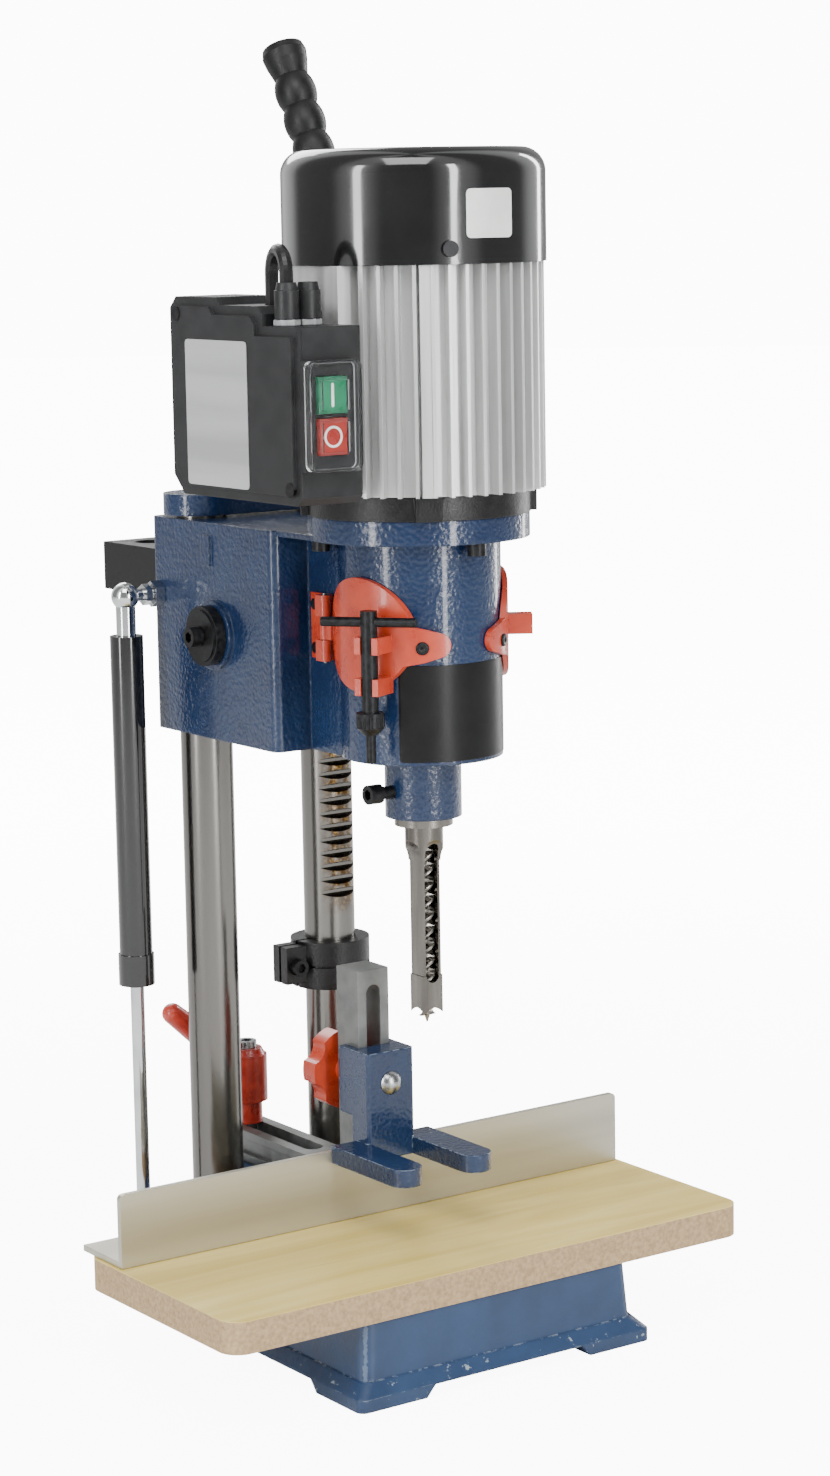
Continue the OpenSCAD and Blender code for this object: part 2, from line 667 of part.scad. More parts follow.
module motor_flange() { color("#1d1e20") at_spindle() difference() {
  union() {
    rod_z([0, 0, seat_z1 + 0.05], seat_r + 0.5, flange_t - 0.1);
    for (a = motor_lug_at) rotate([0, 0, a])
      block([seat_r - 8, -7, seat_z1 + 0.05], [seat_r + 3.5, 7, flange_z1 - 0.05]);
  }
  rod_z([0, 0, seat_z1 - 1], 17.52, flange_t + 2);
  rod_z([0, 0, flange_z1 - 4], stator_r - 4, 6);
  for (a = motor_screw_at) rotate([0, 0, a]) rod_z([seat_r - 7, 0, seat_z1 - 1], 3.05, 10);
} }

// Outline of the finned housing: a plain ring, a flat mounting facet, a wide strip and the radial fins
module fins_2d() {
  difference() {
    union() {
      circle(fin_root_r);
      for (i = [0 : fin_count - 1]) let (a = i * 360 / fin_count)
        if (abs(((a - 180 + 540) % 360) - 180) > 27) rotate(a) translate([fin_root_r - 1, -1])
          square([fin_r - fin_root_r + 1, 2]);
      for (a = motor_lug_at) rotate(a) translate([fin_root_r - 1, -3.6]) square([fin_r - fin_root_r + 0.5, 7.2]);
      translate([-fin_r + 1.5, -27]) square([fin_r - 20, 54]);
    }
    circle(stator_r);
  }
}
module motor_housing() { color("#c2c4c6") at_spindle()
  translate([0, 0, flange_z1]) linear_extrude(motor_h) fins_2d();
}

module stator() { color("#6b5a48") at_spindle() difference() {
  rod_z([0, 0, flange_z1 + 22], stator_r - 0.02, motor_h - 52);
  rod_z([0, 0, flange_z1 + 21], 31, motor_h);
} }

module rotor() { color("#86898c") at_spindle() union() {
  rod_z([0, 0, chuck_z1 - 14], shaft_r, motor_z1 + 34 - chuck_z1 + 14);
  rod_z([0, 0, flange_z1 + 24], 30.4, motor_h - 56);
  rod_z([0, 0, seat_z0 - 24], 10, flange_z1 + 20 - seat_z0 + 24);
} }

module motor_bearings() { color("#9da0a3") at_spindle() {
  difference() {
    rod_z([0, 0, seat_z0 - 22], 20, 14);
    rod_z([0, 0, seat_z0 - 23], 10.04, 16);
  }
  difference() {
    union() {
      rod_z([0, 0, motor_z1 - 14], 16, 12);
      rod_z([0, 0, motor_z1 - 16], stator_r - 0.02, 4);
    }
    rod_z([0, 0, motor_z1 - 17], shaft_r + 0.04, 17);
  }
} }

module cooling_fan() { color("#2b2c2e") at_spindle() translate([0, 0, motor_z1 + 4]) difference() {
  union() {
    cylinder(r = 15, h = 24);
    cylinder(r = 50, h = 2.5);
    for (i = [0 : 8]) rotate([0, 0, i * 40]) block([12, -1.2, 0], [58, 1.2, 22]);
  }
  translate([0, 0, -1]) cylinder(r = shaft_r + 0.02, h = 30);
} }

// Fan cover: a revolved deep cup with a large round shoulder, and air slots in its top
module fan_cover() { color("#17181a") at_spindle() difference() {
  translate([0, 0, motor_z1 + 0.05]) rotate_extrude($fn = 96) difference() {
    cover_outline(cover_r, cover_h, cover_round);
    translate([0, -1]) cover_outline(cover_r - cover_wall, cover_h - cover_wall + 1, cover_round - cover_wall);
  }
  for (i = [-4 : 4]) let (w = sqrt(46 * 46 - pow(i * 10, 2)))
    round_plate(-w, w, i * 10 - 2, i * 10 + 2, cover_z1 - 6, cover_z1 + 2, 1.99);
  rotate([0, 0, cover_screw_at]) rod_x([cover_r - 6, 0, motor_z1 + 8], 2.1, 8);
} }
// Half outline of a cup that is r wide and h high, rounded at its top
module cover_outline(r, h, round_r) {
  square([r, h - round_r]);
  square([r - round_r, h]);
  translate([r - round_r, h - round_r]) intersection() { circle(round_r); square(round_r); }
}

module fan_cover_screw() { color("#1f2022") at_spindle() rotate([0, 0, cover_screw_at]) {
  rod_x([cover_r - 5.7, 0, motor_z1 + 8], 2, 6);
  rod_x([cover_r + 0.2, 0, motor_z1 + 8], 4.2, 2.4);
} }

module motor_screws() { color("#1f2022") at_spindle() for (a = motor_screw_at) rotate([0, 0, a])
  translate([seat_r - 7, 0, seat_z1 + 7.5]) mirror([0, 0, 1]) cap_screw(3, seat_t + 7.8, 5, 6.5);
}

module drill_chuck() { color("#a3a6a9") at_spindle() difference() {
  union() {
    rod_z([0, 0, chuck_z0 + 26], chuck_r, chuck_z1 - chuck_z0 - 34);
    rod_z([0, 0, chuck_z1 - 9], 15, 9);
    translate([0, 0, chuck_z0]) cylinder(r1 = 8.5, r2 = 18, h = 20);
    rod_z([0, 0, chuck_z0 + 19.9], 18, 7);
    translate([0, 0, chuck_z0 + 19]) difference() {
      cylinder(r = 23, h = 7);
      for (i = [0 : 23]) rotate([0, 0, i * 15]) translate([24, 0, -2]) cylinder(r = 1.9, h = 5);
    }
  }
  rod_z([0, 0, chuck_z0 - 1], 5.02, 32);
  rod_z([0, 0, chuck_z1 - 18], shaft_r + 0.02, 20);
} }

// Auger: a shank and two flutes wound round a core, one pitch after the other
module auger_bit() { color("#8a8d90") at_spindle() union() {
  rod_z([0, 0, shoulder_z + 16], 4.9, chuck_z0 + 29 - shoulder_z - 16);
  translate([0, 0, tip_z - 2]) linear_extrude(shoulder_z + 18 - tip_z + 0.2,
      twist = -360 * (shoulder_z + 18 - tip_z) / auger_pitch, slices = 66, segments = 8)
    polygon([[auger_r, 0], [auger_r - 0.25, 1.5], [0, 1.9], [-auger_r + 0.25, 1.5], [-auger_r, 0],
      [-auger_r + 0.25, -1.5], [0, -1.9], [auger_r - 0.25, -1.5]]);
  translate([0, 0, tip_z - 6]) cylinder(r1 = 0.4, r2 = 1.8, h = 4.2);
} }

// Chisel: square blade with four hollow-ground points, a slot in its front, and a round collar with flats
// Height of the full-width end of the chisel, and half the width of the chip slot above it
jaw_l = 21;
chip_slot = 4.25;
// Radius of the four arcs that bring the round collar down to the square shank
collar_arc = 20;
module hollow_chisel() { color("#aeb1b4") at_spindle() difference() {
  union() {
    block([-chisel_side / 2 + 0.5, -chisel_side / 2 + 0.5, tip_z + jaw_l - 1], [chisel_side / 2 - 0.5, chisel_side / 2 - 0.5, shoulder_z + 1]);
    block([-chisel_side / 2, -chisel_side / 2, tip_z], [chisel_side / 2, chisel_side / 2, tip_z + jaw_l]);
    rod_z([0, 0, shoulder_z], chisel_collar_r, bush_z0 - shoulder_z - 0.3);
    rod_z([0, 0, bush_z0 - 1], bush_bore_r - 0.02, 34);
  }
  rod_z([0, 0, tip_z - 1], auger_r + 0.35, shoulder_z - tip_z + 70);
  translate([0, 0, tip_z - 0.1]) cylinder(r1 = chisel_side * 0.68, r2 = auger_r, h = 4.6);
  for (a = [0, 90]) rotate([0, 0, a]) translate([0, chisel_side, tip_z - 4.4]) rotate([90, 0, 0])
    cylinder(r = 7, h = 2 * chisel_side);
  translate([0, 0, tip_z + jaw_l - 4]) rotate([90, 0, 0]) linear_extrude(chisel_side * 1.2)
    round_rect(-chip_slot, chip_slot, 0, shoulder_z - tip_z - jaw_l + 14, chip_slot - 0.01);
  for (a = [0, 90], s = [-1, 1]) rotate([0, 0, a]) translate([s * (chisel_side / 2 + collar_arc), collar_arc, shoulder_z])
    rotate([90, 0, 0]) cylinder(r = collar_arc, h = 2 * collar_arc);
} }

module chisel_bush() { color("#8f9294") at_spindle() difference() {
  union() {
    rod_z([0, 0, bush_z0], bush_r, 4.7);
    rod_z([0, 0, bush_z0 + 4], 13, nose_l - 2);
  }
  rod_z([0, 0, bush_z0 - 1], bush_bore_r, nose_l + 8);
  rod_x([-14, 0, nose_z0 + 15], 3.6, 12);
} }

module chisel_lock_screw() { color("#1f2022") at_spindle()
  translate([-bush_bore_r - 0.3, 0, nose_z0 + 15]) rotate([0, -90, 0]) cap_screw(3.5, 19, 5.3, 8);
}

// Door outline, unrolled: an oval with a round tongue towards the front
door_half_w = 33;
door_half_h = 30.5;
// Curved door shell on the housing, cut to the oval outline
module door_shape() {
  difference() {
    intersection() {
      rod_z([0, 0, door_z - 40], door_r + door_t, 80);
      union() {
        rotate([0, 0, 180 + door_mid]) intersection() {
          translate([0, 0, door_z]) rotate([0, 90, 0]) cylinder(r = door_half_h, h = 70);
          block([0, -door_half_w + 1, door_z - 40], [70, door_half_w - 1, door_z + 40]);
        }
        hull() for (t = [[247, 6.5], [216, 12]]) rotate([0, 0, t[0]])
          translate([door_r - 6, 0, door_z - 5]) rotate([0, 90, 0]) cylinder(r = t[1], h = 20);
      }
    }
    rod_z([0, 0, door_z - 50], door_r, 100);
    block([-10.5, -100, door_z - 60], [80, 100, door_z + 60]);
    block([-80, hinge_y - 3.5, door_z - 60], [0, 100, door_z + 60]);
    block([-neck_half - 0.6, 5, door_z - 60], [0, 100, door_z + 60]);
  }
}
// Clip on the left door that holds the chuck key
key_dir = 207.5;
key_r = 59;
module key_clip() {
  rotate([0, 0, key_dir]) for (z = [door_z - 30, door_z - 8]) difference() {
    block([door_r + 1, -7, z], [key_r + 4, 7, z + 9]);
    rod_z([key_r, 0, z - 1], 4.6, 12);
    block([key_r, -3.4, z - 1], [key_r + 10, 3.4, z + 10]);
  }
}
// Knuckle that carries the door on its pin
module door_knuckle() {
  difference() {
    union() {
      rod_z([-hinge_x, hinge_y, door_z - 6], 3.2, 12);
      block([-hinge_x - 1.2, hinge_y - 7, door_z - 6], [-hinge_x + 1.2, hinge_y, door_z + 6]);
    }
    rod_z([-hinge_x, hinge_y, door_z - 10], 1.55, 20);
  }
}
module left_door() { color("#dd4f2b") at_spindle() union() {
  door_shape();
  door_knuckle();
  key_clip();
} }

module right_door() { color("#dd4f2b") at_spindle() mirror([1, 0, 0]) union() {
  door_shape();
  door_knuckle();
  rotate([0, 0, key_dir + 6]) difference() {
    block([door_r + 1, -5, door_z - 5], [door_r + 16, 5, door_z + 6]);
    block([door_r + 8, -2.6, door_z - 6], [door_r + 20, 2.6, door_z + 7]);
  }
} }

module door_hinges() { color("#dd4f2b") at_spindle() for (s = [0, 1]) mirror([s, 0, 0]) difference() {
  union() {
    block([-neck_half - 2.8, hinge_y + 3.5, door_z - hinge_h / 2], [-neck_half - 0.3, hinge_y + 18, door_z + hinge_h / 2]);
    for (z = [door_z - hinge_h / 2, door_z + 6.4]) {
      rod_z([-hinge_x, hinge_y, z], 3.2, hinge_h / 2 - 6.4);
      block([-hinge_x - 3.2, hinge_y, z], [-neck_half - 0.3, hinge_y + 5, z + hinge_h / 2 - 6.4]);
    }
  }
  rod_z([-hinge_x, hinge_y, door_z - 30], 1.55, 60);
  for (z = [door_z - 12, door_z + 12]) rod_x([-neck_half - 6, hinge_y + 12, z], 1.8, 8);
} }

module door_pins() { color("#9a9da0") at_spindle() for (s = [-1, 1])
  rod_z([s * hinge_x, hinge_y, door_z - hinge_h / 2 - 1], 1.5, hinge_h + 2);
}

module door_screws() { color("#1f2022") at_spindle() for (s = [0, 1]) mirror([s, 0, 0])
  for (z = [door_z - 12, door_z + 12]) {
    rod_x([-neck_half - 2.8, hinge_y + 12, z], 1.75, 2.6);
    rod_x([-neck_half - 4.8, hinge_y + 12, z], 3.1, 2);
  }
}

module chuck_key() { color("#1b1c1e") at_spindle() rotate([0, 0, key_dir]) translate([key_r, 0, door_z]) {
  rod_z([0, 0, -46], 4.5, 61);
  translate([0, 0, -51]) cylinder(r1 = 4, r2 = 7.6, h = 4);
  difference() {
    rod_z([0, 0, -47.1], 7.6, 8);
    for (i = [0 : 11]) rotate([0, 0, i * 30]) translate([8, 0, -48]) cylinder(r = 1.1, h = 7);
  }
  rod_z([0, 0, -66], 2.6, 16);
  rotate([0, 0, 12]) rod_y([0, -26, 9], 2.6, 52);
} }

// Switch box: a hollow case that opens towards its cover, with a notch for the glands
module box_outline(m) {
  translate([box_y0 + m, box_z0 + m]) polygon([[0, 4], [4, 0], [box_l - 2 * m - 10, 0], [box_l - 2 * m, 10],
    [box_l - 2 * m, box_h - 2 * m - 6], [box_l - 2 * m - 6, box_h - 2 * m], [lower_top_l, box_h - 2 * m],
    [lower_top_l - 4, box_h - 2 * m - lower_top], [notch_l, box_h - 2 * m - lower_top],
    [notch_l - 4, box_h - 2 * m - lower_top - 4], [notch_l - 4, box_h - 2 * m - notch_h], [0, box_h - 2 * m - notch_h]]);
}
module box_slab(x0, x1, m) { translate([-x1, 0, 0]) rotate([90, 0, 90]) linear_extrude(x1 - x0) box_outline(m); }
module switch_box() { color("#26272a") at_spindle() difference() {
  union() {
    box_slab(box_in, box_x - 4.1, 0);
    block([-box_in - 1, -26, box_z0 + 20], [-fin_r + 1.2, 26, box_z1 - 20]);
  }
  box_slab(box_in + 3, box_x + 1, 3);
  for (x = gland_x) rod_z([-x, gland_y, gland_z - 8], 5.05, 12);
  translate([-gland_x[0], gland_y, gland_z]) rotate([0, 0, lead_turn])
    rod_z([2 * lead_bend, 0, 0], lead_r + 0.3, notch_h + 1);
  block([-panel_x - 12.7, box_y0 - 1, boot_z0 + 4], [-panel_x + 12.7, box_y0 + 8, boot_z0 + boot_h - 4]);
  for (p = [[box_y0 + 8, box_z0 + 8], [box_y1 - 9, box_z1 - 9]]) rod_x([-box_x, p[0], p[1]], 1.6, 20);
} }

module switch_cover() { color("#26272a") at_spindle() difference() {
  union() {
    box_slab(box_x - 4, box_x - 2, 0);
    box_slab(box_x - 2.5, box_x, 5);
  }
  box_slab(box_x - 5, box_x - 2.5, 8);
  for (p = [[box_y0 + 8, box_z0 + 8], [box_y1 - 9, box_z1 - 9]]) rod_x([-box_x - 1, p[0], p[1]], 2.1, 12);
} }

module switch_screws() { color("#3a3b3e") at_spindle()
  for (p = [[box_y0 + 8, box_z0 + 8], [box_y1 - 9, box_z1 - 9]]) {
    rod_x([-box_x - 0.4, p[0], p[1]], 3.9, 0.4);
    rod_x([-box_x, p[0], p[1]], 1.55, 18);
  }
}

// Switch panel: a frame in the front of the box, with a well for each button
module switch_panel() { color("#2c2d30") at_spindle() difference() {
  union() {
    block([-panel_x - boot_w / 2, box_y0 - panel_t, boot_z0], [-panel_x + boot_w / 2, box_y0 - 0.1, boot_z0 + boot_h]);
    block([-panel_x - 12.4, box_y0 - 1, boot_z0 + 4.4], [-panel_x + 12.4, box_y0 + 18, boot_z0 + boot_h - 4.4]);
  }
  for (z = [boot_z0 + 17.5, boot_z0 + 38.5])
    block([-panel_x - button_half_w - 0.4, box_y0 - panel_t - 1, z - 9.7],
      [-panel_x + button_half_w + 0.4, box_y0 + button_back + button_travel + 2, z + 9.7]);
} }

module switch_boot() { color("#cfd4d6") at_spindle() difference() {
  translate([-panel_x, box_y0 - panel_t - 0.1, 0]) rotate([90, 0, 0]) linear_extrude(boot_d)
    round_rect(-boot_w / 2, boot_w / 2, boot_z0, boot_z0 + boot_h, 4);
  translate([-panel_x, box_y0 - panel_t + 0.5, 0]) rotate([90, 0, 0]) linear_extrude(boot_d - 1.2)
    round_rect(-boot_w / 2 + 1.4, boot_w / 2 - 1.4, boot_z0 + 1.4, boot_z0 + boot_h - 1.4, 3);
  for (z = [boot_z0 + 17.5, boot_z0 + 38.5])
    block([-panel_x - 8, box_y0 - panel_t - boot_d - 1, z - 7.5], [-panel_x + 8, box_y0 - panel_t - 3, z + 7.5]);
} }

module push_button(z) {
  block([-panel_x - button_half_w, box_y0 - panel_t - 2.4, z - 9.3], [-panel_x + button_half_w, box_y0 + button_back, z + 9.3]);
}
module start_button() { color("#2f9e63") at_spindle() push_button(boot_z0 + 38.5); }
module stop_button() { color("#d23b32") at_spindle() push_button(boot_z0 + 17.5); }

module cable_glands() { color("#1d1e20") at_spindle() for (x = gland_x) difference() {
  translate([-x, gland_y, gland_z]) {
    translate([0, 0, -6]) cylinder(r = 5, h = 10);
    translate([0, 0, 0.1]) cylinder(r = 5, h = 3.6);
    translate([0, 0, 3.5]) cylinder(r = 6.4, h = 14.5);
    translate([0, 0, 17.9]) cylinder(r1 = 5.8, r2 = 5, h = 4.1);
  }
  if (x == gland_x[0]) translate([-x, gland_y, gland_z - 7]) cylinder(r = lead_r + 0.02, h = 30);
} }

// Motor lead: up from its gland, over in a tight arch and down behind, to the box's inner gland
lead_sides = 10;
lead_steps = 20;
lead_turn = 75;
lead_h = 26;
lead_path = concat([[0, 0, -5]], [for (i = [0 : lead_steps]) let (a = 180 - 180 * i / lead_steps)
  [lead_bend * (1 + cos(a)), 0, lead_h + lead_bend * sin(a)]], [[2 * lead_bend, 0, 2]]);
lead_lean = concat([0], [for (i = [0 : lead_steps]) 180 * i / lead_steps], [180]);
module motor_lead() { color("#161719") at_spindle() translate([-gland_x[0], gland_y, gland_z])
  rotate([0, 0, lead_turn]) {
    n = lead_sides;
    rings = len(lead_path);
    polyhedron(
      points = [for (k = [0 : rings - 1], j = [0 : n - 1]) let (b = 360 * j / n, a = lead_lean[k])
        lead_path[k] + lead_r * [cos(b) * cos(a), sin(b), -cos(b) * sin(a)]],
      faces = concat([[for (j = [0 : n - 1]) j]], [[for (j = [n - 1 : -1 : 0]) (rings - 1) * n + j]],
        [for (k = [0 : rings - 2], j = [0 : n - 1]) [k * n + j, (k + 1) * n + j, (k + 1) * n + (j + 1) % n]],
        [for (k = [0 : rings - 2], j = [0 : n - 1]) [k * n + j, (k + 1) * n + (j + 1) % n, k * n + (j + 1) % n]]));
  }
}

module strut_cylinder() { color("#18191b") at_spindle() difference() {
  union() {
    rod_z([-strut_x, strut_y, strut_bottom + 18], strut_r, strut_top - strut_bottom - 18);
    rod_z([-strut_x, strut_y, strut_bottom], strut_r + 0.9, 18.1);
  }
  rod_z([-strut_x, strut_y, strut_bottom - 1], strut_rod_r + 0.05, bore_end - strut_bottom + 1);
} }

module strut_rod() { color("#c8cbcd") at_spindle()
  rod_z([-strut_x, strut_y, low_ball_z + ball_r - 1], strut_rod_r, bore_end - stroke - 3 - low_ball_z - ball_r + 1);
}

// A ball stud along X with its socket, from the side face x0 to the ball
module ball_joint(x0, z, up) { translate([0, strut_y, z]) {
  difference() {
    translate([-strut_x, 0, 0]) sphere(ball_r);
    rod_x([-strut_x, 0, 0], 5.02, 20);
  }
  rod_x([-strut_x - 0.5, 0, 0], 5, 5);
  rod_x([-strut_x + 4, 0, 0], stud_r, strut_x - 4 - x0 + 9);
  translate([-x0 - 6.3, 0, 0]) rotate([0, 90, 0]) cylinder(r = 7.5, h = 6, $fn = 6);
  translate([-x0 - 11.8, 0, 0]) rotate([0, 90, 0]) cylinder(r = 6.2, h = 4, $fn = 6);
  if (up) rod_z([-strut_x, 0, -22.5], 5.6, 17);
} }
module strut_top_joint() { color("#c2c5c7") at_spindle() difference() {
  ball_joint(head_half, ball_z, true);
  rod_z([-strut_x, strut_y, strut_top - 5], strut_r + 1, 4.9);
} }
module strut_bottom_joint() { color("#c2c5c7") at_spindle() difference() {
  ball_joint(low_stud_x, low_ball_z, false);
  rod_z([-strut_x, strut_y, low_ball_z + ball_r - 1.2], strut_rod_r + 0.02, 12);
} }

// Tool rack: a folded sheet tray behind the head, with round holes for spare tooling
rack_y0 = head_y1 + 0.3;
rack_z1 = head_z0 + 101;
// Tool rack: half its width, its depth, and the heights of its lip and its back flange
rack_half = 50;
rack_d = 74;
rack_lip = 28;
rack_flange = 44;
rack_t = 2;
module tool_rack() { color("#1b1c1e") at_spindle() difference() {
  union() {
    block([-rack_half, rack_y0, rack_z1 - rack_t], [rack_half, rack_y0 + rack_d, rack_z1]);
    for (s = [0, 1]) mirror([s, 0, 0])
      block([rack_half - rack_t, rack_y0, rack_z1 - rack_lip], [rack_half, rack_y0 + rack_d, rack_z1]);
    block([-rack_half, rack_y0, rack_z1 - rack_flange], [rack_half, rack_y0 + rack_t, rack_z1]);
    block([-rack_half, rack_y0 + rack_d - rack_t, rack_z1 - rack_lip], [rack_half, rack_y0 + rack_d, rack_z1]);
  }
  for (x = [-30, 0, 30], y = [24, 52]) rod_z([x, rack_y0 + y, rack_z1 - 5], 10, 8);
  for (x = [-36, 36]) rod_y([x, rack_y0 - 1, rack_z1 - 36], 3.2, 5);
} }

base_casting();
table_board();
table_screws();
fence_angle();
fence_slide_bar();
fence_screws();
holddown_post();
holddown_bracket();
holddown_bolt();
holddown_knob();
clamp_lever();
clamp_stud();
plain_column();
rack_column();
column_bridge();
bridge_screws();
stop_collar();
collar_screw();
head_casting();
pinion_shaft();
pinion_washer();
pinion_screw();
lever_hub();
lever_rod();
lever_grip();
rack_wiper();
motor_flange();
motor_housing();
stator();
rotor();
motor_bearings();
cooling_fan();
fan_cover();
fan_cover_screw();
motor_screws();
drill_chuck();
auger_bit();
hollow_chisel();
chisel_bush();
chisel_lock_screw();
left_door();
right_door();
door_hinges();
door_pins();
door_screws();
chuck_key();
switch_box();
switch_cover();
switch_screws();
switch_panel();
switch_boot();
start_button();
stop_button();
cable_glands();
motor_lead();
strut_cylinder();
strut_rod();
strut_top_joint();
strut_bottom_joint();
tool_rack();
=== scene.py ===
"""Looks of the hollow chisel mortiser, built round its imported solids.

Paints, metals and plastics for every solid, then the blank plates, the marks on the buttons, the
gland nuts, the latch screws of the doors, and the stage.
"""

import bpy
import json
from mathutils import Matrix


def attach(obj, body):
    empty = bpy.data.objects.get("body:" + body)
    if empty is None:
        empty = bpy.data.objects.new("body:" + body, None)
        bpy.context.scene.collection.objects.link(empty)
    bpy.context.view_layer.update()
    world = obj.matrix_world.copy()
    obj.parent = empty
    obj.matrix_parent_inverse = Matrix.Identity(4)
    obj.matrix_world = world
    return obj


bl_info = {
    "name": "Hollow Chisel Mortiser",
    "version": (1, 0, 0),
    "blender": (4, 5, 0),
    "location": "View3D > Sidebar > Mortiser",
    "description": "Finishes and small pieces of a bench hollow chisel mortiser",
    "category": "Object",
}

import json
import math

import bpy
import numpy as np
from mathutils import Matrix, Vector

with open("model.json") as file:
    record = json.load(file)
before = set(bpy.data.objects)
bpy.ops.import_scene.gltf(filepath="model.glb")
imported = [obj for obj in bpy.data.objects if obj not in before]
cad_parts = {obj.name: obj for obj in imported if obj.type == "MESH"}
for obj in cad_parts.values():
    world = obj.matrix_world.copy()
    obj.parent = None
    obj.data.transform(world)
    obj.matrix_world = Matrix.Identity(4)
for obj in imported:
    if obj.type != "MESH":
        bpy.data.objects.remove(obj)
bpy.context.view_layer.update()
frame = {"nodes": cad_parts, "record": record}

# Real sizes in millimetres, in the frame of the spindle axis, as in the part's source
SPINDLE_BACK = 65.5
HOUSING_R = 44.0
COVER_R = 70.5
BOX_FACE_X = -117.0
PANEL_X = -99.5
BUTTON_FACE_Y = -68.4
START_Z = 536.0
STOP_Z = 515.0
GLAND_X = (-106.0, -93.0)
GLAND_Y = -38.0
GLAND_Z = 570.0
DOOR_OUT_R = 47.6
# Latch screw of the left door: compass angle and height
LATCH_AT = 236.0
LATCH_Z = 397.8
TABLE_Z1 = 63.0
RACK_FACE_Y = 145.5
# Depth of the laminate on the board
LAMINATE = 0.4
# Plate on the switch box: centre in y and z, half width and half height
BOX_PLATE_AT = (14.0, 524.0)
BOX_PLATE_HALF = (30.0, 38.0)
# Plate round the chuck housing: compass angle and height of its middle, arc in degrees, half height
HOUSING_PLATE_AT = (274.5, 362.0)
HOUSING_PLATE_ARC = 111.0
HOUSING_PLATE_HALF_H = 26.0
# Sticker on the fan cover: compass angle and height of its middle, its half sizes, its corner
STICKER_AT = (269.2, 624.8)
STICKER_HALF = (14.3, 12.6)
STICKER_CORNER = 2.6
# Printed marks: how far they stand out, the bar's half sizes and corner, the ring's two radii
MARK_HEIGHT = 0.25
START_BAR_HALF = (0.8, 6.1)
START_BAR_CORNER = 0.7
STOP_RING_R = (4.3, 5.5)
# Profiles that are turned round an axis, as (radius, height)
GLAND_NUT = ((5.02, 0.15), (5.6, 0.15), (6.0, 0.6), (6.0, 2.9), (5.6, 3.35), (5.02, 3.35))
LATCH_SCREW = ((1.0, 0.5), (1.3, 1.0), (2.9, 1.0), (3.4, 0.6), (3.6, 0.0), (0.05, 0.0), (0.05, 0.5))

# Lower front corner of the base beside the switch, in metres, and how far its walls lean in for
# each unit of height
BASE_CORNER = (-0.0897, -0.1302)
BASE_LEAN = 0.067

# Stage, in metres: the floor's radius, the point that the lights look at, the strength of the white
# that the camera sees on the floor near the machine and all round it
FLOOR_R = 12.0
LIGHT_AIM = (0.0, 0.0, 0.33)
NEAR_WHITE = 9.5
FAR_WHITE = 12.0

# Camera fitted over points of the photograph: turn, tilt and roll in degrees, place in metres in
# the part's frame, focal length in pixels, and the photograph's longer side in pixels
CAMERA_ANGLES = (34.9, 9.1, -1.0)
CAMERA_AT = (-1.0525, -1.5672, 0.6362)
FOCAL_PX = 3410.2
PHOTO_HEIGHT_PX = 1476
SENSOR_MM = 36


def linear(code):
    """An sRGB hex colour turned to linear light.

    A channel c becomes c / 12.92 up to 0.04045, else ((c + 0.055) / 1.055) to the power 2.4.
    """
    c = np.array([int(code[i : i + 2], 16) for i in (1, 3, 5)]) / 255
    c = np.where(c <= 0.04045, c / 12.92, ((c + 0.055) / 1.055) ** 2.4)
    return (*c.tolist(), 1.0)


def per_mm(size):
    """Texture scale for features this many millimetres wide: Object coordinates are metres."""
    return 1000.0 / size


# ---- meshes worked out as whole arrays ----


def place(points):
    """Millimetres from the spindle axis to metres from the centre of the bench bolts."""
    return (np.asarray(points, float).reshape(-1, 3) - (0.0, SPINDLE_BACK, 0.0)) / 1000.0


def grid_quads(rows, cols, wrap_rows=False, wrap_cols=False):
    """Quads of a grid of rows by cols points, joined last to first where a direction wraps."""
    i = np.arange(rows if wrap_rows else rows - 1)[:, None]
    j = np.arange(cols if wrap_cols else cols - 1)[None, :]
    i2, j2 = (i + 1) % rows, (j + 1) % cols
    return np.stack([i * cols + j, i * cols + j2, i2 * cols + j2, i2 * cols + j], -1).reshape(-1, 4)


def piece(name, points, quads, body, slot, finish, smooth=True):
    """One closed mesh object from arrays. It rides on a body; the slot that it is given is not
    used.

    Its faces are turned outwards: the sum of centre . normal * area is three times the volume, and
    the faces are flipped where that is negative.
    """
    mesh = bpy.data.meshes.new(name)
    mesh.from_pydata(place(points).tolist(), [], np.asarray(quads).tolist())
    mesh.validate()
    obj = bpy.data.objects.new(name, mesh)
    bpy.context.scene.collection.objects.link(obj)
    if sum(Vector(p.center).dot(p.normal) * p.area for p in mesh.polygons) < 0:
        mesh.flip_normals()
    mesh.polygons.foreach_set("use_smooth", np.full(len(mesh.polygons), smooth))
    mesh.materials.append(finish)
    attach(obj, body)
    return obj


def slab(front, back):
    """Closed plate between two equal grids: the front, the back turned over, and a wall round."""
    rows, cols = front.shape[:2]
    points = np.concatenate([front.reshape(-1, 3), back.reshape(-1, 3)])
    face = grid_quads(rows, cols)
    n = rows * cols
    index = np.arange(n).reshape(rows, cols)
    rim = np.concatenate([index[0, :-1], index[:-1, -1], index[-1, :0:-1], index[:0:-1, 0]])
    after = np.roll(rim, -1)
    wall = np.stack([after, rim, rim + n, after + n], -1)
    return points, np.concatenate([face, face[:, ::-1] + n, wall])


def rounded(half_w, half_h, r, rows=24, cols=16):
    """Grid over a rectangle with round corners.

    A row that lies past the start of the corner by a height p is narrower on each side by
    r - sqrt(r^2 - p^2).
    """
    v = np.sin(np.linspace(-math.pi / 2, math.pi / 2, rows)) * half_h
    past = np.clip(np.abs(v) - (half_h - r), 0, r)
    w = half_w - (r - np.sqrt(r * r - past * past))
    u = np.linspace(-1, 1, cols)
    return w[:, None] * u[None, :], np.repeat(v[:, None], cols, 1)


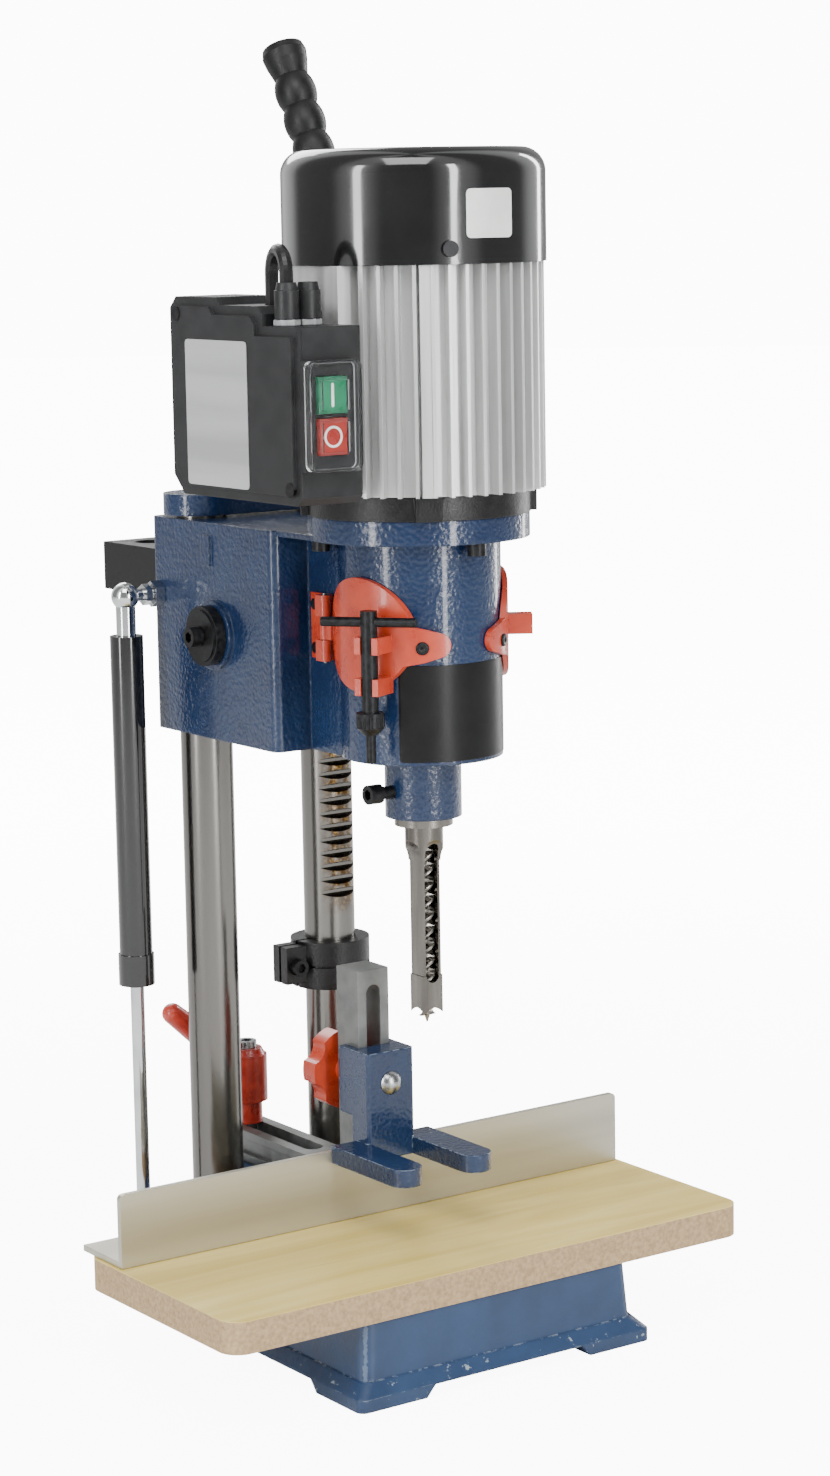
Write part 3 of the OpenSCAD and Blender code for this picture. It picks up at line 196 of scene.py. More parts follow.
def wrapped_plate(radius, mid_deg, z, half_w, half_h, r, thick, cols=48):
    """Thin plate wrapped round the spindle axis, its width on the arc: angle = width / radius."""
    u, v = rounded(half_w, half_h, r, 24, cols)
    a = math.radians(mid_deg) + u / radius
    shell = [np.stack([q * np.cos(a), q * np.sin(a), z + v], -1) for q in (radius + thick, radius)]
    return slab(*shell)


def turned(profile, sides, centre, hexagon=False):
    """Closed ring: a profile of (radius, height) carried round an upright axis.

    A hexagon's radius grows by 1 / cos(angle from the middle of its flat) towards its corners.
    """
    profile = np.asarray(profile, float)
    a = np.arange(sides) * 2 * math.pi / sides
    grow = np.ones(sides)
    if hexagon:
        grow = 1 / np.cos((a + math.pi / 6) % (math.pi / 3) - math.pi / 6)
    r = profile[None, :, 0] * grow[:, None]
    height = np.broadcast_to(profile[None, :, 1], r.shape)
    points = np.stack([r * np.cos(a)[:, None], r * np.sin(a)[:, None], height], -1)
    return points + np.asarray(centre, float), grid_quads(sides, len(profile), True, True)


def facing(points, deg, radius, z):
    """Carries a shape made round an upright axis at the origin to a spot on the housing.

    Its axis points outwards there: p = x * side + y * up + z * out + out * radius + height.
    """
    c, s = math.cos(math.radians(deg)), math.sin(math.radians(deg))
    side, up, out = np.array([-s, c, 0.0]), np.array([0.0, 0.0, 1.0]), np.array([c, s, 0.0])
    p = points.reshape(-1, 3)
    return p[:, :1] * side + p[:, 1:2] * up + p[:, 2:] * out + out * radius + (0, 0, z)


# ---- materials ----


def plug(tree, socket, value):
    """Joins a (node, output) pair to a socket, or gives the socket a plain value."""
    if isinstance(value, tuple) and isinstance(value[0], bpy.types.Node):
        tree.links.new(value[0].outputs[value[1]], socket)
    else:
        socket.default_value = value


def add(tree, kind, settings=None, **sockets):
    """Adds one node with these properties. A socket goes by its name, or its number as _0 or _6."""
    made = tree.nodes.new(kind)
    for key, value in (settings or {}).items():
        setattr(made, key, value)
    for key, value in sockets.items():
        plug(tree, made.inputs[int(key[1:]) if key[0] == "_" else key.replace("_", " ")], value)
    return made


def remap(tree, value, low=0.0, high=1.0, to_low=0.0, to_high=1.0, curve="LINEAR"):
    """Maps a value from one range to another and holds it inside the new one."""
    settings = {"interpolation_type": curve}
    return add(
        tree, "ShaderNodeMapRange", settings, _0=value, _1=low, _2=high, _3=to_low, _4=to_high
    )


def calc(tree, operation, *terms):
    """One Math node over two or three terms."""
    terms = {f"_{k}": term for k, term in enumerate(terms)}
    return add(tree, "ShaderNodeMath", {"operation": operation}, **terms)


def blend(tree, amount, below, above, mode="MIX"):
    """Colour above laid over colour below by an amount. Returns the joined output."""
    settings = {"data_type": "RGBA", "blend_type": mode}
    return (add(tree, "ShaderNodeMix", settings, _0=amount, _6=below, _7=above), 2)


def start(name):
    """A new node material with its shader and Object coordinates."""
    made = bpy.data.materials.new(name)
    made.use_nodes = True
    tree = made.node_tree
    shader = tree.nodes["Principled BSDF"]
    return made, tree, shader, (add(tree, "ShaderNodeTexCoord"), "Object")


def dress(shader, tree, **sockets):
    """Sets or joins the shader's sockets."""
    for key, value in sockets.items():
        plug(tree, shader.inputs[key.replace("_", " ")], value)


def mottle(tree, where, mm, a, b, stretch=(1, 1, 1), low=0.35, high=0.65, detail=4.0):
    """Colour that drifts between two hex colours over patches of this size, and its noise."""
    laid = add(tree, "ShaderNodeMapping", Vector=where, Scale=stretch)
    noise = add(
        tree, "ShaderNodeTexNoise", Vector=(laid, "Vector"), Scale=per_mm(mm), Detail=detail
    )
    ramp = remap(tree, (noise, "Fac"), low, high)
    return blend(tree, (ramp, 0), linear(a), linear(b)), (noise, "Fac")


def grain(tree, where, mm, height_mm, stretch=(1, 1, 1), detail=3.0, strength=1.0, rounding=0.0):
    """Bump of this grain size and height. Rounding softens the edges by that many millimetres."""
    laid = add(tree, "ShaderNodeMapping", Vector=where, Scale=stretch)
    noise = add(
        tree, "ShaderNodeTexNoise", Vector=(laid, "Vector"), Scale=per_mm(mm), Detail=detail
    )
    bump = add(
        tree, "ShaderNodeBump", _0=strength, Distance=height_mm / 1000, Height=(noise, "Fac")
    )
    if rounding:
        soft = add(tree, "ShaderNodeBevel", {"samples": 4}, Radius=rounding / 1000)
        plug(tree, bump.inputs["Normal"], (soft, 0))
    return (bump, 0)


def edge_wear(tree, where, width_mm, chip_mm, amount):
    """Mask of worn edges: where the rounded normal leaves the true one, broken up by noise."""
    soft = add(tree, "ShaderNodeBevel", {"samples": 6}, Radius=width_mm / 1000)
    true = add(tree, "ShaderNodeNewGeometry")
    dot = add(
        tree, "ShaderNodeVectorMath", {"operation": "DOT_PRODUCT"}, _0=(soft, 0),
        _1=(true, "Normal"),
    )
    edge = remap(tree, (dot, "Value"), 0.97, 0.85)
    noise = add(tree, "ShaderNodeTexNoise", Vector=where, Scale=per_mm(chip_mm), Detail=5.0)
    chips = remap(tree, (noise, "Fac"), 0.62 - amount, 0.72 - amount)
    mask = calc(tree, "MULTIPLY", (edge, 0), (chips, 0))
    return (mask, 0)


def over(tree, mask, below, above):
    """Colour above laid over colour below by a mask. Each is a hex colour or a joined output."""
    return blend(tree, mask, *(linear(c) if isinstance(c, str) else c for c in (below, above)))


# Simple finishes: dark and light colour, patch size in millimetres, metallic, lowest and highest
# roughness, grain size and height in millimetres, stretch of the pattern, edge rounding in
# millimetres, and other shader sockets
FINISHES = {
    # Cast iron, machined and lacquered: smooth grey with a faint sand grain
    "sand_cast_iron": ("#747675", "#828482", 8, 0.7, 0.42, 0.55, 0.9, 0.1, (1, 1, 1), 0.8, {}),
    # Extruded aluminium sheet, brushed along its length: fine level streaks
    "brushed_aluminium": (
        "#b2afa1", "#c9c6b8", 30, 0.85, 0.34, 0.46, 0.5, 0.015, (0.03, 1, 1), 0.5, {}
    ),
    # Ground and polished steel bar: long fine streaks along the column, sharp bands of light
    "ground_steel_bar": (
        "#6c6a67", "#86847f", 60, 1.0, 0.17, 0.28, 0.8, 0.006, (1, 1, 0.02), 0.0, {}
    ),
    # Bright zinc plate: small soft patches of light
    "bright_zinc": ("#8e9092", "#b9bbbc", 4, 1.0, 0.22, 0.36, 0.7, 0.02, (1, 1, 1), 0.3, {}),
    # Black oxide on steel screws: deep grey with a dull oily sheen
    "black_oxide_steel": ("#101011", "#222325", 3, 0.6, 0.3, 0.48, 0.5, 0.03, (1, 1, 1), 0.3, {}),
    # Moulded acetal in orange red: glossy, a little light inside, soft edges
    "moulded_orange_acetal": (
        "#a8331c", "#b94026", 14, 0.0, 0.24, 0.36, 1.5, 0.02, (1, 1, 1), 0.5, {"Coat_Weight": 0.2}
    ),
    # Red enamel on die-cast zinc: thick gloss over a lumpy casting
    "red_enamel": (
        "#a82a1c", "#c63d29", 8, 0.0, 0.25, 0.4, 2.5, 0.12, (1, 1, 1), 0.7, {"Coat_Weight": 0.4}
    ),
    # Hardened tool steel with a tan from its temper: grey brown, ground along its length
    "tempered_tool_steel": (
        "#605c57", "#85817b", 9, 1.0, 0.16, 0.28, 0.6, 0.02, (1, 1, 0.1), 0.2, {}
    ),
    # Ground twist of the auger: brighter than the chisel round it, with a fine turned grain
    "ground_auger_steel": ("#7c7872", "#98948d", 7, 1.0, 0.26, 0.36, 0.6, 0.01, (1, 1, 1), 0.2, {}),
    # Black enamel over rough cast iron: broad dull lights over a coarse skin
    "black_cast_enamel": (
        "#080809", "#101011", 5, 0.0, 0.3, 0.42, 1.2, 0.2, (1, 1, 1), 0.8,
        {"Specular_IOR_Level": 0.4},
    ),
    # Chrome plate: almost a mirror
    "chrome_plate": ("#c6c8ca", "#d8dadb", 20, 1.0, 0.06, 0.12, 3.0, 0.004, (1, 1, 1), 0.2, {}),
    # Moulded black rubber: soft broad sheen
    "moulded_rubber": (
        "#0d0d0e", "#151516", 6, 0.0, 0.38, 0.52, 0.8, 0.03, (1, 1, 1), 0.5,
        {"Specular_IOR_Level": 0.3},
    ),
    # Flexible PVC of the lead: satin black
    "flexible_pvc": (
        "#111112", "#19191a", 10, 0.0, 0.3, 0.4, 2.0, 0.02, (1, 1, 1), 0.0,
        {"Specular_IOR_Level": 0.35},
    ),
    # Extruded aluminium fins, etched and lacquered: pale, with long soft streaks down each fin
    "extruded_fin_aluminium": (
        "#bcbdbc", "#d9dad9", 12, 0.5, 0.3, 0.44, 1.2, 0.05, (1, 1, 0.06), 0.5, {}
    ),
    # Enamelled copper windings
    "enamelled_copper": ("#6b3418", "#8f4a22", 3, 0.9, 0.3, 0.45, 1.0, 0.1, (1, 1, 1), 0.0, {}),
    # Moulded nylon of the cooling fan
    "moulded_nylon": (
        "#1b1b1d", "#272729", 6, 0.0, 0.4, 0.55, 1.0, 0.03, (1, 1, 1), 0.4,
        {"Specular_IOR_Level": 0.4},
    ),
    # Pressed steel under black gloss enamel: mirror-like with a slow orange peel
    "black_gloss_enamel": (
        "#0b0b0c", "#121213", 40, 0.0, 0.1, 0.16, 7.0, 0.012, (1, 1, 1), 0.4,
        {"Coat_Weight": 0.6, "Coat_Roughness": 0.04},
    ),
    # Moulded ABS of the switch box: fine spark-eroded texture, satin
    "textured_abs": (
        "#191a1b", "#222324", 12, 0.0, 0.4, 0.5, 0.7, 0.05, (1, 1, 1), 0.6,
        {"Specular_IOR_Level": 0.35},
    ),
    # Soft clear PVC over the buttons
    "clear_pvc": (
        "#f4f7f8", "#fbfcfc", 20, 0.0, 0.02, 0.05, 8.0, 0.008, (1, 1, 1), 0.3,
        {"Transmission_Weight": 1.0, "IOR": 1.36},
    ),
    # Moulded green and red polycarbonate of the buttons
    "moulded_green_button": (
        "#1f7350", "#28805c", 9, 0.0, 0.25, 0.34, 1.5, 0.02, (1, 1, 1), 0.5, {}
    ),
    "moulded_red_button": ("#952c26", "#a5372f", 9, 0.0, 0.25, 0.34, 1.5, 0.02, (1, 1, 1), 0.5, {}),
    # Folded sheet steel under black powder coat: fine even texture
    "black_powder_coat": (
        "#0d0d0e", "#161617", 8, 0.0, 0.42, 0.55, 0.8, 0.04, (1, 1, 1), 0.6,
        {"Specular_IOR_Level": 0.3},
    ),
    # White print on the buttons
    "white_print": ("#e2e2de", "#efefec", 5, 0.0, 0.4, 0.5, 0.6, 0.01, (1, 1, 1), 0.0, {}),
    # Brushed foil of the blank plate on the switch box: pale grey
    "brushed_foil": ("#a9aaab", "#bdbebf", 14, 0.35, 0.34, 0.44, 0.5, 0.008, (1, 0.05, 1), 0.0, {}),
    # Black vinyl of the blank plate on the chuck housing
    "black_vinyl": (
        "#0c0c0d", "#111112", 18, 0.0, 0.3, 0.36, 1.2, 0.01, (1, 1, 1), 0.0,
        {"Specular_IOR_Level": 0.25},
    ),
    # White vinyl of the blank sticker
    "white_vinyl": ("#dededc", "#ececea", 18, 0.0, 0.3, 0.38, 1.2, 0.01, (1, 1, 1), 0.0, {}),
    # Grey moulded nylon of the gland nuts
    "grey_nylon": ("#8b8d8e", "#a2a4a5", 4, 0.0, 0.4, 0.5, 0.8, 0.03, (1, 1, 1), 0.3, {}),
}


def simple_finish(name):
    """A finish from the table: drifting colour, drifting roughness and a grained skin."""
    dark, light, patch, metal, low, high, size, height, stretch, rounding, extra = FINISHES[name]
    made, tree, shader, where = start(name)
    colour, noise = mottle(tree, where, patch, dark, light, stretch)
    rough = remap(tree, noise, 0.3, 0.7, low, high)
    skin = grain(tree, where, size, height, stretch, rounding=rounding)
    dress(
        shader, tree, Base_Color=colour, Roughness=(rough, 0), Normal=skin, Metallic=metal, **extra
    )
    return made


def hammered_enamel(name, worn):
    """Blue hammer-finish enamel on cast iron: small cells that catch the light, worn edges."""
    paint = bpy.context.scene.mortiser_finish
    made, tree, shader, where = start(name)
    colour, noise = mottle(tree, where, 30, "#102342", "#142a4a")
    tint = blend(tree, 1.0, colour, (*paint.enamel_tint, 1.0), "MULTIPLY")
    cells = add(
        tree, "ShaderNodeTexVoronoi", {"feature": "SMOOTH_F1"}, Vector=where,
        Scale=per_mm(paint.hammer_size * 1000), Smoothness=0.9,
    )
    lumps = add(tree, "ShaderNodeTexNoise", Vector=where, Scale=per_mm(3), Detail=2.0)
    relief = calc(tree, "MULTIPLY_ADD", (cells, "Distance"), 1.0, (lumps, "Fac"))
    soft = add(tree, "ShaderNodeBevel", {"samples": 4}, Radius=0.0018)
    bump = add(
        tree, "ShaderNodeBump", _0=0.52, Distance=0.0006, Height=(relief, 0), Normal=(soft, 0)
    )
    rough = remap(tree, noise, 0.3, 0.7, 0.19, 0.27)
    mask = edge_wear(tree, where, 1.1, 5, worn)
    colour = over(tree, mask, tint, "#7d8b9a")
    dress(
        shader, tree, Base_Color=colour, Roughness=(rough, 0), Normal=(bump, 0), Coat_Weight=0.4,
        Coat_Roughness=0.08, Specular_IOR_Level=0.4,
    )
    return made


def base_enamel(name):
    """Blue satin enamel on the sand-cast base.

    It has a fine cast skin and chips along the skirt. The front corner is rubbed where the distance
    to its leaning edge is under 4 mm times the noise, less 1 mm.
    """
    made, tree, shader, where = start(name)
    colour, noise = mottle(tree, where, 30, "#1c3353", "#223d60")
    skin = grain(tree, where, 2.2, 0.22, detail=6.0, rounding=2.2, strength=0.6)
    rough = remap(tree, noise, 0.3, 0.7, 0.36, 0.5)
    split = add(tree, "ShaderNodeSeparateXYZ", Vector=where)
    skirt = remap(tree, (split, "Z"), 0.024, 0.012, 0.0, 0.1)
    chips = add(
        tree, "ShaderNodeTexNoise", Vector=where, Scale=per_mm(7), Detail=9.0, Roughness=0.7
    )
    likely = calc(tree, "ADD", (chips, "Fac"), (skirt, 0))
    spots = remap(tree, (likely, 0), 0.715, 0.75)
    colour = over(tree, (spots, 0), colour, "#8d98a3")
    colour = over(tree, edge_wear(tree, where, 1.2, 4, 0.12), colour, "#8793a1")
    lean = [calc(tree, "MULTIPLY_ADD", (split, "Z"), -BASE_LEAN, (split, axis)) for axis in "XY"]
    flat = add(tree, "ShaderNodeCombineXYZ", X=(lean[0], 0), Y=(lean[1], 0))
    away = add(
        tree, "ShaderNodeVectorMath", {"operation": "DISTANCE"}, _0=(flat, 0),
        _1=(*BASE_CORNER, 0.0),
    )
    ragged = add(tree, "ShaderNodeTexNoise", Vector=where, Scale=per_mm(3), Detail=6.0)
    reach = calc(tree, "MULTIPLY_ADD", (ragged, "Fac"), -0.004, (away, "Value"))
    rub = remap(tree, (reach, 0), -0.0007, -0.0013, 0.0, 0.35)
    colour = over(tree, (rub, 0), colour, "#7f8fa3")
    dress(
        shader, tree, Base_Color=colour, Roughness=(rough, 0), Normal=skin, Coat_Weight=0.15,
        Coat_Roughness=0.25,
    )
    return made


def laminated_board(name):
    """Fibreboard under maple-print laminate: yellow grain on top, speckled fibre on the edge."""
    made, tree, shader, where = start(name)
    wavy = add(tree, "ShaderNodeMapping", Vector=where, Scale=(0.09, 1, 1))
    warp = add(
        tree, "ShaderNodeTexNoise", Vector=(wavy, "Vector"), Scale=per_mm(16), Detail=5.0,
        Distortion=0.7,
    )
    band = remap(tree, (warp, "Fac"), 0.35, 0.66)
    top = over(tree, (band, 0), "#e4cd7a", "#d4b962")
    pores = add(tree, "ShaderNodeTexNoise", Vector=(wavy, "Vector"), Scale=per_mm(1.6), Detail=3.0)
    fine = remap(tree, (pores, "Fac"), 0.56, 0.75, 0.0, 0.35)
    top = over(tree, (fine, 0), top, "#c2ae72")
    fibre, _ = mottle(tree, where, 2.2, "#9c8260", "#bda27a", low=0.3, high=0.7, detail=8.0)
    flecks = add(tree, "ShaderNodeTexNoise", Vector=where, Scale=per_mm(0.9), Detail=2.0)
    fleck = remap(tree, (flecks, "Fac"), 0.64, 0.7, 0.0, 0.7)
    edge = over(tree, (fleck, 0), fibre, "#7c6242")
    split = add(tree, "ShaderNodeSeparateXYZ", Vector=where)
    under = TABLE_Z1 - LAMINATE
    skin = remap(tree, (split, "Z"), (under - 0.1) / 1000, under / 1000)
    colour = over(tree, (skin, 0), edge, top)
    rough = remap(tree, (skin, 0), to_low=0.75, to_high=0.24)
    bump = grain(tree, where, 1.2, 0.04, detail=5.0)
    dress(shader, tree, Base_Color=colour, Roughness=(rough, 0), Normal=bump)
    return made


def greased_rack_steel(name):
    """Ground steel with its rack: brown grease in the gaps, thinner over the ground face."""
    made, tree, shader, where = start(name)
    steel, noise = mottle(tree, where, 60, "#6c6a67", "#86847f", (1, 1, 0.02))
    rough = remap(tree, noise, 0.3, 0.7, 0.17, 0.28)
    split = add(tree, "ShaderNodeSeparateXYZ", Vector=where)
    front = (RACK_FACE_Y - SPINDLE_BACK) / 1000
    near = remap(tree, (split, "Y"), front + 0.0035, front - 0.0015)
    low = remap(tree, (split, "Z"), 0.215, 0.228)
    smear = add(tree, "ShaderNodeTexNoise", Vector=where, Scale=per_mm(5), Detail=4.0)
    thick = remap(tree, (smear, "Fac"), 0.36, 0.6, 0.25, 1.0)
    mask = calc(tree, "MULTIPLY", (near, 0), (low, 0))
    mask = calc(tree, "MULTIPLY", (mask, 0), (thick, 0))
    gold = add(tree, "ShaderNodeTexNoise", Vector=where, Scale=per_mm(1.6), Detail=3.0)
    streak = remap(tree, (gold, "Fac"), 0.52, 0.68)
    grease = over(tree, (streak, 0), "#4e3a20", "#9c7c46")
    colour = over(tree, (mask, 0), steel, grease)
    skin = grain(tree, where, 0.8, 0.006, (1, 1, 0.02))
    dress(shader, tree, Base_Color=colour, Roughness=(rough, 0), Normal=skin, Metallic=1.0)
    return made


# Finish of the castings, the board and the rack
CASTING_FINISH = {
    "head_casting": "hammered_blue_enamel",
    "column_bridge": "hammered_blue_enamel",
    "holddown_bracket": "rubbed_blue_enamel",
    "base_casting": "satin_blue_enamel",
    "table_board": "maple_laminate_board",
    "rack_column": "greased_rack_steel",
}
# Solids whose finish isn't their slot's
OTHER_FINISH = {"auger_bit": "ground_auger_steel"}
# Finish of all other solids, by their slot in the record
SLOT_FINISH = {
    "grey_casting": "sand_cast_iron",
    "fence_aluminium": "brushed_aluminium",
    "ground_steel": "ground_steel_bar",
    "zinc_fasteners": "bright_zinc",
    "black_screws": "black_oxide_steel",
    "orange_plastic": "moulded_orange_acetal",
    "red_lever": "red_enamel",
    "tool_steel": "tempered_tool_steel",
    "black_casting": "black_cast_enamel",
    "lever_chrome": "chrome_plate",
    "grip_rubber": "moulded_rubber",
    "lead_rubber": "flexible_pvc",
    "motor_aluminium": "extruded_fin_aluminium",
    "winding_copper": "enamelled_copper",
    "fan_plastic": "moulded_nylon",
    "black_gloss": "black_gloss_enamel",
    "box_plastic": "textured_abs",
    "clear_boot": "clear_pvc",
    "green_plastic": "moulded_green_button",
    "red_plastic": "moulded_red_button",
    "black_sheet": "black_powder_coat",
}
SLOT_OF = {part["node"]: part["material_slot"] for part in frame["record"]["subparts"]}

# How worn the edges of each hammered enamel are, and the finishes that have a function of their own
HAMMERED_WEAR = {"hammered_blue_enamel": 0.0, "rubbed_blue_enamel": 0.16}
OWN_MAKER = {
    "satin_blue_enamel": base_enamel,
    "maple_laminate_board": laminated_board,
    "greased_rack_steel": greased_rack_steel,
}


def material(name):
    """The finish of that name, made once."""
    made = bpy.data.materials.get(name)
    if made:
        return made
    if name in HAMMERED_WEAR:
        return hammered_enamel(name, HAMMERED_WEAR[name])
    return OWN_MAKER.get(name, simple_finish)(name)


def paint_nodes(finishes):
    """Gives each solid its finish through its material slots."""
    for name, finish in finishes.items():
        mesh = frame["nodes"][name].data
        mesh.materials.clear()
        mesh.materials.append(material(finish))


class MortiserFinish(bpy.types.PropertyGroup):
    """Paint and light that a user may change."""

    enamel_tint: bpy.props.FloatVectorProperty(
        name="Enamel tint", description="Colour that the blue enamel is multiplied by",
        subtype="COLOR", size=3, default=(1.0, 1.0, 1.0), min=0.0, max=2.0,
    )
    hammer_size: bpy.props.FloatProperty(
        name="Hammer cell", description="Width of one cell of the hammer finish", default=0.0022,
        min=0.001, max=0.02, unit="LENGTH", precision=4,
    )
    floor_tone: bpy.props.FloatVectorProperty(
        name="Floor", description="Colour of the floor", subtype="COLOR", size=3,
        default=(0.86, 0.86, 0.86), min=0.0, max=1.0,
    )
    key_power: bpy.props.FloatProperty(
        name="Key light", description="Power of the key light in watts", default=56.0, min=0.0,
        max=500.0,
    )


class MortiserPlates(bpy.types.PropertyGroup):
    """Blank plates that a user may resize."""

    plate_thickness: bpy.props.FloatProperty(
        name="Plate thickness", description="Thickness of the blank plates", default=0.0003,
        min=0.0001, max=0.001, unit="LENGTH", precision=4,
    )
    corner: bpy.props.FloatProperty(
        name="Plate corner", description="Corner radius of the blank plates", default=0.002,
        min=0.0005, max=0.01, unit="LENGTH", precision=4,
    )


class MORTISER_OT_castings(bpy.types.Operator):
    """Blue enamel on the castings, the board's laminate and the rack's grease."""

    bl_idname = "mortiser.castings"
    bl_label = "Castings and board"

    def execute(self, context):
        paint_nodes(CASTING_FINISH)
        return {"FINISHED"}


class MORTISER_OT_metals(bpy.types.Operator):
    """Finish of every other solid, by its slot in the record."""

    bl_idname = "mortiser.metals"
    bl_label = "Metals and plastics"

    def execute(self, context):
        paint_nodes(OTHER_FINISH)
        done = {*CASTING_FINISH, *OTHER_FINISH}
        paint_nodes({name: SLOT_FINISH[slot] for name, slot in SLOT_OF.items() if name not in done})
        return {"FINISHED"}


class MORTISER_OT_plates(bpy.types.Operator):
    """Blank plates: grey on the box, black round the chuck housing, white on the fan cover."""

    bl_idname = "mortiser.plates"
    bl_label = "Blank plates"

    def execute(self, context):
        size = context.scene.mortiser_plates
        thick, corner = size.plate_thickness * 1000, size.corner * 1000
        (y, z), (half_w, half_h) = BOX_PLATE_AT, BOX_PLATE_HALF
        v, u = rounded(half_h, half_w, corner, 16, 24)
        faces = (BOX_FACE_X - thick, BOX_FACE_X)
        sheet = [np.stack([np.full(u.shape, x), y + u, z + v], -1) for x in faces]
        piece("box_plate", *slab(*sheet), "head", "box_plastic", material("brushed_foil"), False)
        half_w = math.radians(HOUSING_PLATE_ARC) * HOUSING_R / 2
        shape = wrapped_plate(
            HOUSING_R, *HOUSING_PLATE_AT, half_w, HOUSING_PLATE_HALF_H, corner, thick, 96
        )
        piece("housing_plate", *shape, "head", "black_gloss", material("black_vinyl"))
        shape = wrapped_plate(COVER_R, *STICKER_AT, *STICKER_HALF, STICKER_CORNER, thick)
        piece("cover_sticker", *shape, "head", "black_gloss", material("white_vinyl"))
        return {"FINISHED"}


class MORTISER_OT_switch(bpy.types.Operator):
    """ON bar and OFF ring on the buttons, and the hexagon nuts of the cable glands."""

    bl_idname = "mortiser.switch"
    bl_label = "Switch marks and gland nuts"

    def execute(self, context):
        u, v = rounded(*START_BAR_HALF, START_BAR_CORNER, 12, 6)
        depths = (BUTTON_FACE_Y - MARK_HEIGHT, BUTTON_FACE_Y)
        bar = [np.stack([PANEL_X + u, np.full(u.shape, y), START_Z + v], -1) for y in depths]
        piece("start_mark", *slab(*bar), "start", "green_plastic", material("white_print"), False)
        inner, outer = STOP_RING_R
        outline = [(inner, 0), (outer, 0), (outer, MARK_HEIGHT), (inner, MARK_HEIGHT)]
        ring, quads = turned(outline, 48, (0, 0, 0))
        laid_back = np.array([[1, 0, 0], [0, 0, 1], [0, -1, 0]])
        ring = ring @ laid_back + (PANEL_X, BUTTON_FACE_Y, STOP_Z)
        piece("stop_mark", ring, quads, "stop", "red_plastic", material("white_print"), False)
        for k, x in enumerate(GLAND_X):
            nut = turned(GLAND_NUT, 72, (x, GLAND_Y, GLAND_Z), True)
            piece(f"gland_nut_{k}", *nut, "head", "box_plastic", material("grey_nylon"), False)
        return {"FINISHED"}


class MORTISER_OT_doors(bpy.types.Operator):
    """Black latch screws in the tongues of the two chuck doors."""

    bl_idname = "mortiser.doors"
    bl_label = "Door latch screws"

    def execute(self, context):
        points, quads = turned(LATCH_SCREW, 40, (0, 0, 0))
        black = material("black_oxide_steel")
        # The right door is the left one mirrored in x, which turns an angle a into 180 - a
        for side, deg in (("left", LATCH_AT), ("right", 540.0 - LATCH_AT)):
            screw = facing(points, deg, DOOR_OUT_R, LATCH_Z)
            piece(f"latch_screw_{side}", screw, quads, f"{side}_door", "black_screws", black)
        return {"FINISHED"}


class MORTISER_OT_stage(bpy.types.Operator):
    """Pale floor, soft studio light and the camera at the photograph's angle."""

    bl_idname = "mortiser.stage"
    bl_label = "Stage"

    def execute(self, context):
        pale_floor(context.scene)
        soft_boxes(context.scene)
        studio_world(context.scene)
        set_camera(context.scene)
        return {"FINISHED"}


def pale_floor(scene):
    """Matt pale disc under the machine, which the camera sees as white.

    The white gets stronger from 0.35 m to 1.8 m away from the middle.
    """
    made, tree, shader, where = start("pale_floor")
    far = add(tree, "ShaderNodeVectorMath", {"operation": "LENGTH"}, _0=where)
    fade = remap(tree, (far, "Value"), 0.35, 1.8, NEAR_WHITE, FAR_WHITE, "SMOOTHSTEP")
    seen = add(tree, "ShaderNodeLightPath")
    glow = calc(tree, "MULTIPLY", (fade, 0), (seen, "Is Camera Ray"))
    tone = (*scene.mortiser_finish.floor_tone, 1.0)
    dress(shader, tree, Base_Color=tone, Roughness=0.85, Specular_IOR_Level=0.2)
    dress(shader, tree, Emission_Color=(1.0, 1.0, 1.0, 1.0), Emission_Strength=(glow, 0))
    a = np.arange(96) * 2 * math.pi / 96
    rim = np.stack([FLOOR_R * np.cos(a), FLOOR_R * np.sin(a), np.zeros(96)], -1)
    disc = bpy.data.meshes.new("floor")
    disc.from_pydata(rim.tolist(), [], [list(range(96))])
    disc.materials.append(made)
    floor = bpy.data.objects.new("floor", disc)
    scene.collection.objects.link(floor)


def soft_boxes(scene):
    """Five soft boxes that look at the machine: place, power, width and height."""
    key = scene.mortiser_finish.key_power
    boxes = {
        "front_strip": ((0.0, -2.6, 0.9), key, 0.3, 2.4),
        "side_strip": ((-2.58, -0.36, 0.9), key * 0.9, 0.34, 2.4),
        "top_light": ((-0.9, -1.1, 2.4), key * 0.7, 1.3, 1.3),
        "right_strip": ((2.3, 0.5, 1.0), key * 0.5, 0.3, 2.0),
        "back_light": ((0.6, 2.2, 1.8), key * 0.6, 1.2, 1.2),
    }
    for name, (spot, power, width, height) in boxes.items():
        light = bpy.data.lights.new(name, "AREA")
        light.shape = "RECTANGLE"
        light.energy, light.size, light.size_y = power, width, height
        lamp = bpy.data.objects.new(name, light)
        scene.collection.objects.link(lamp)
        lamp.location = spot
        lamp.rotation_euler = (Vector(LIGHT_AIM) - Vector(spot)).to_track_quat("-Z", "Y").to_euler()


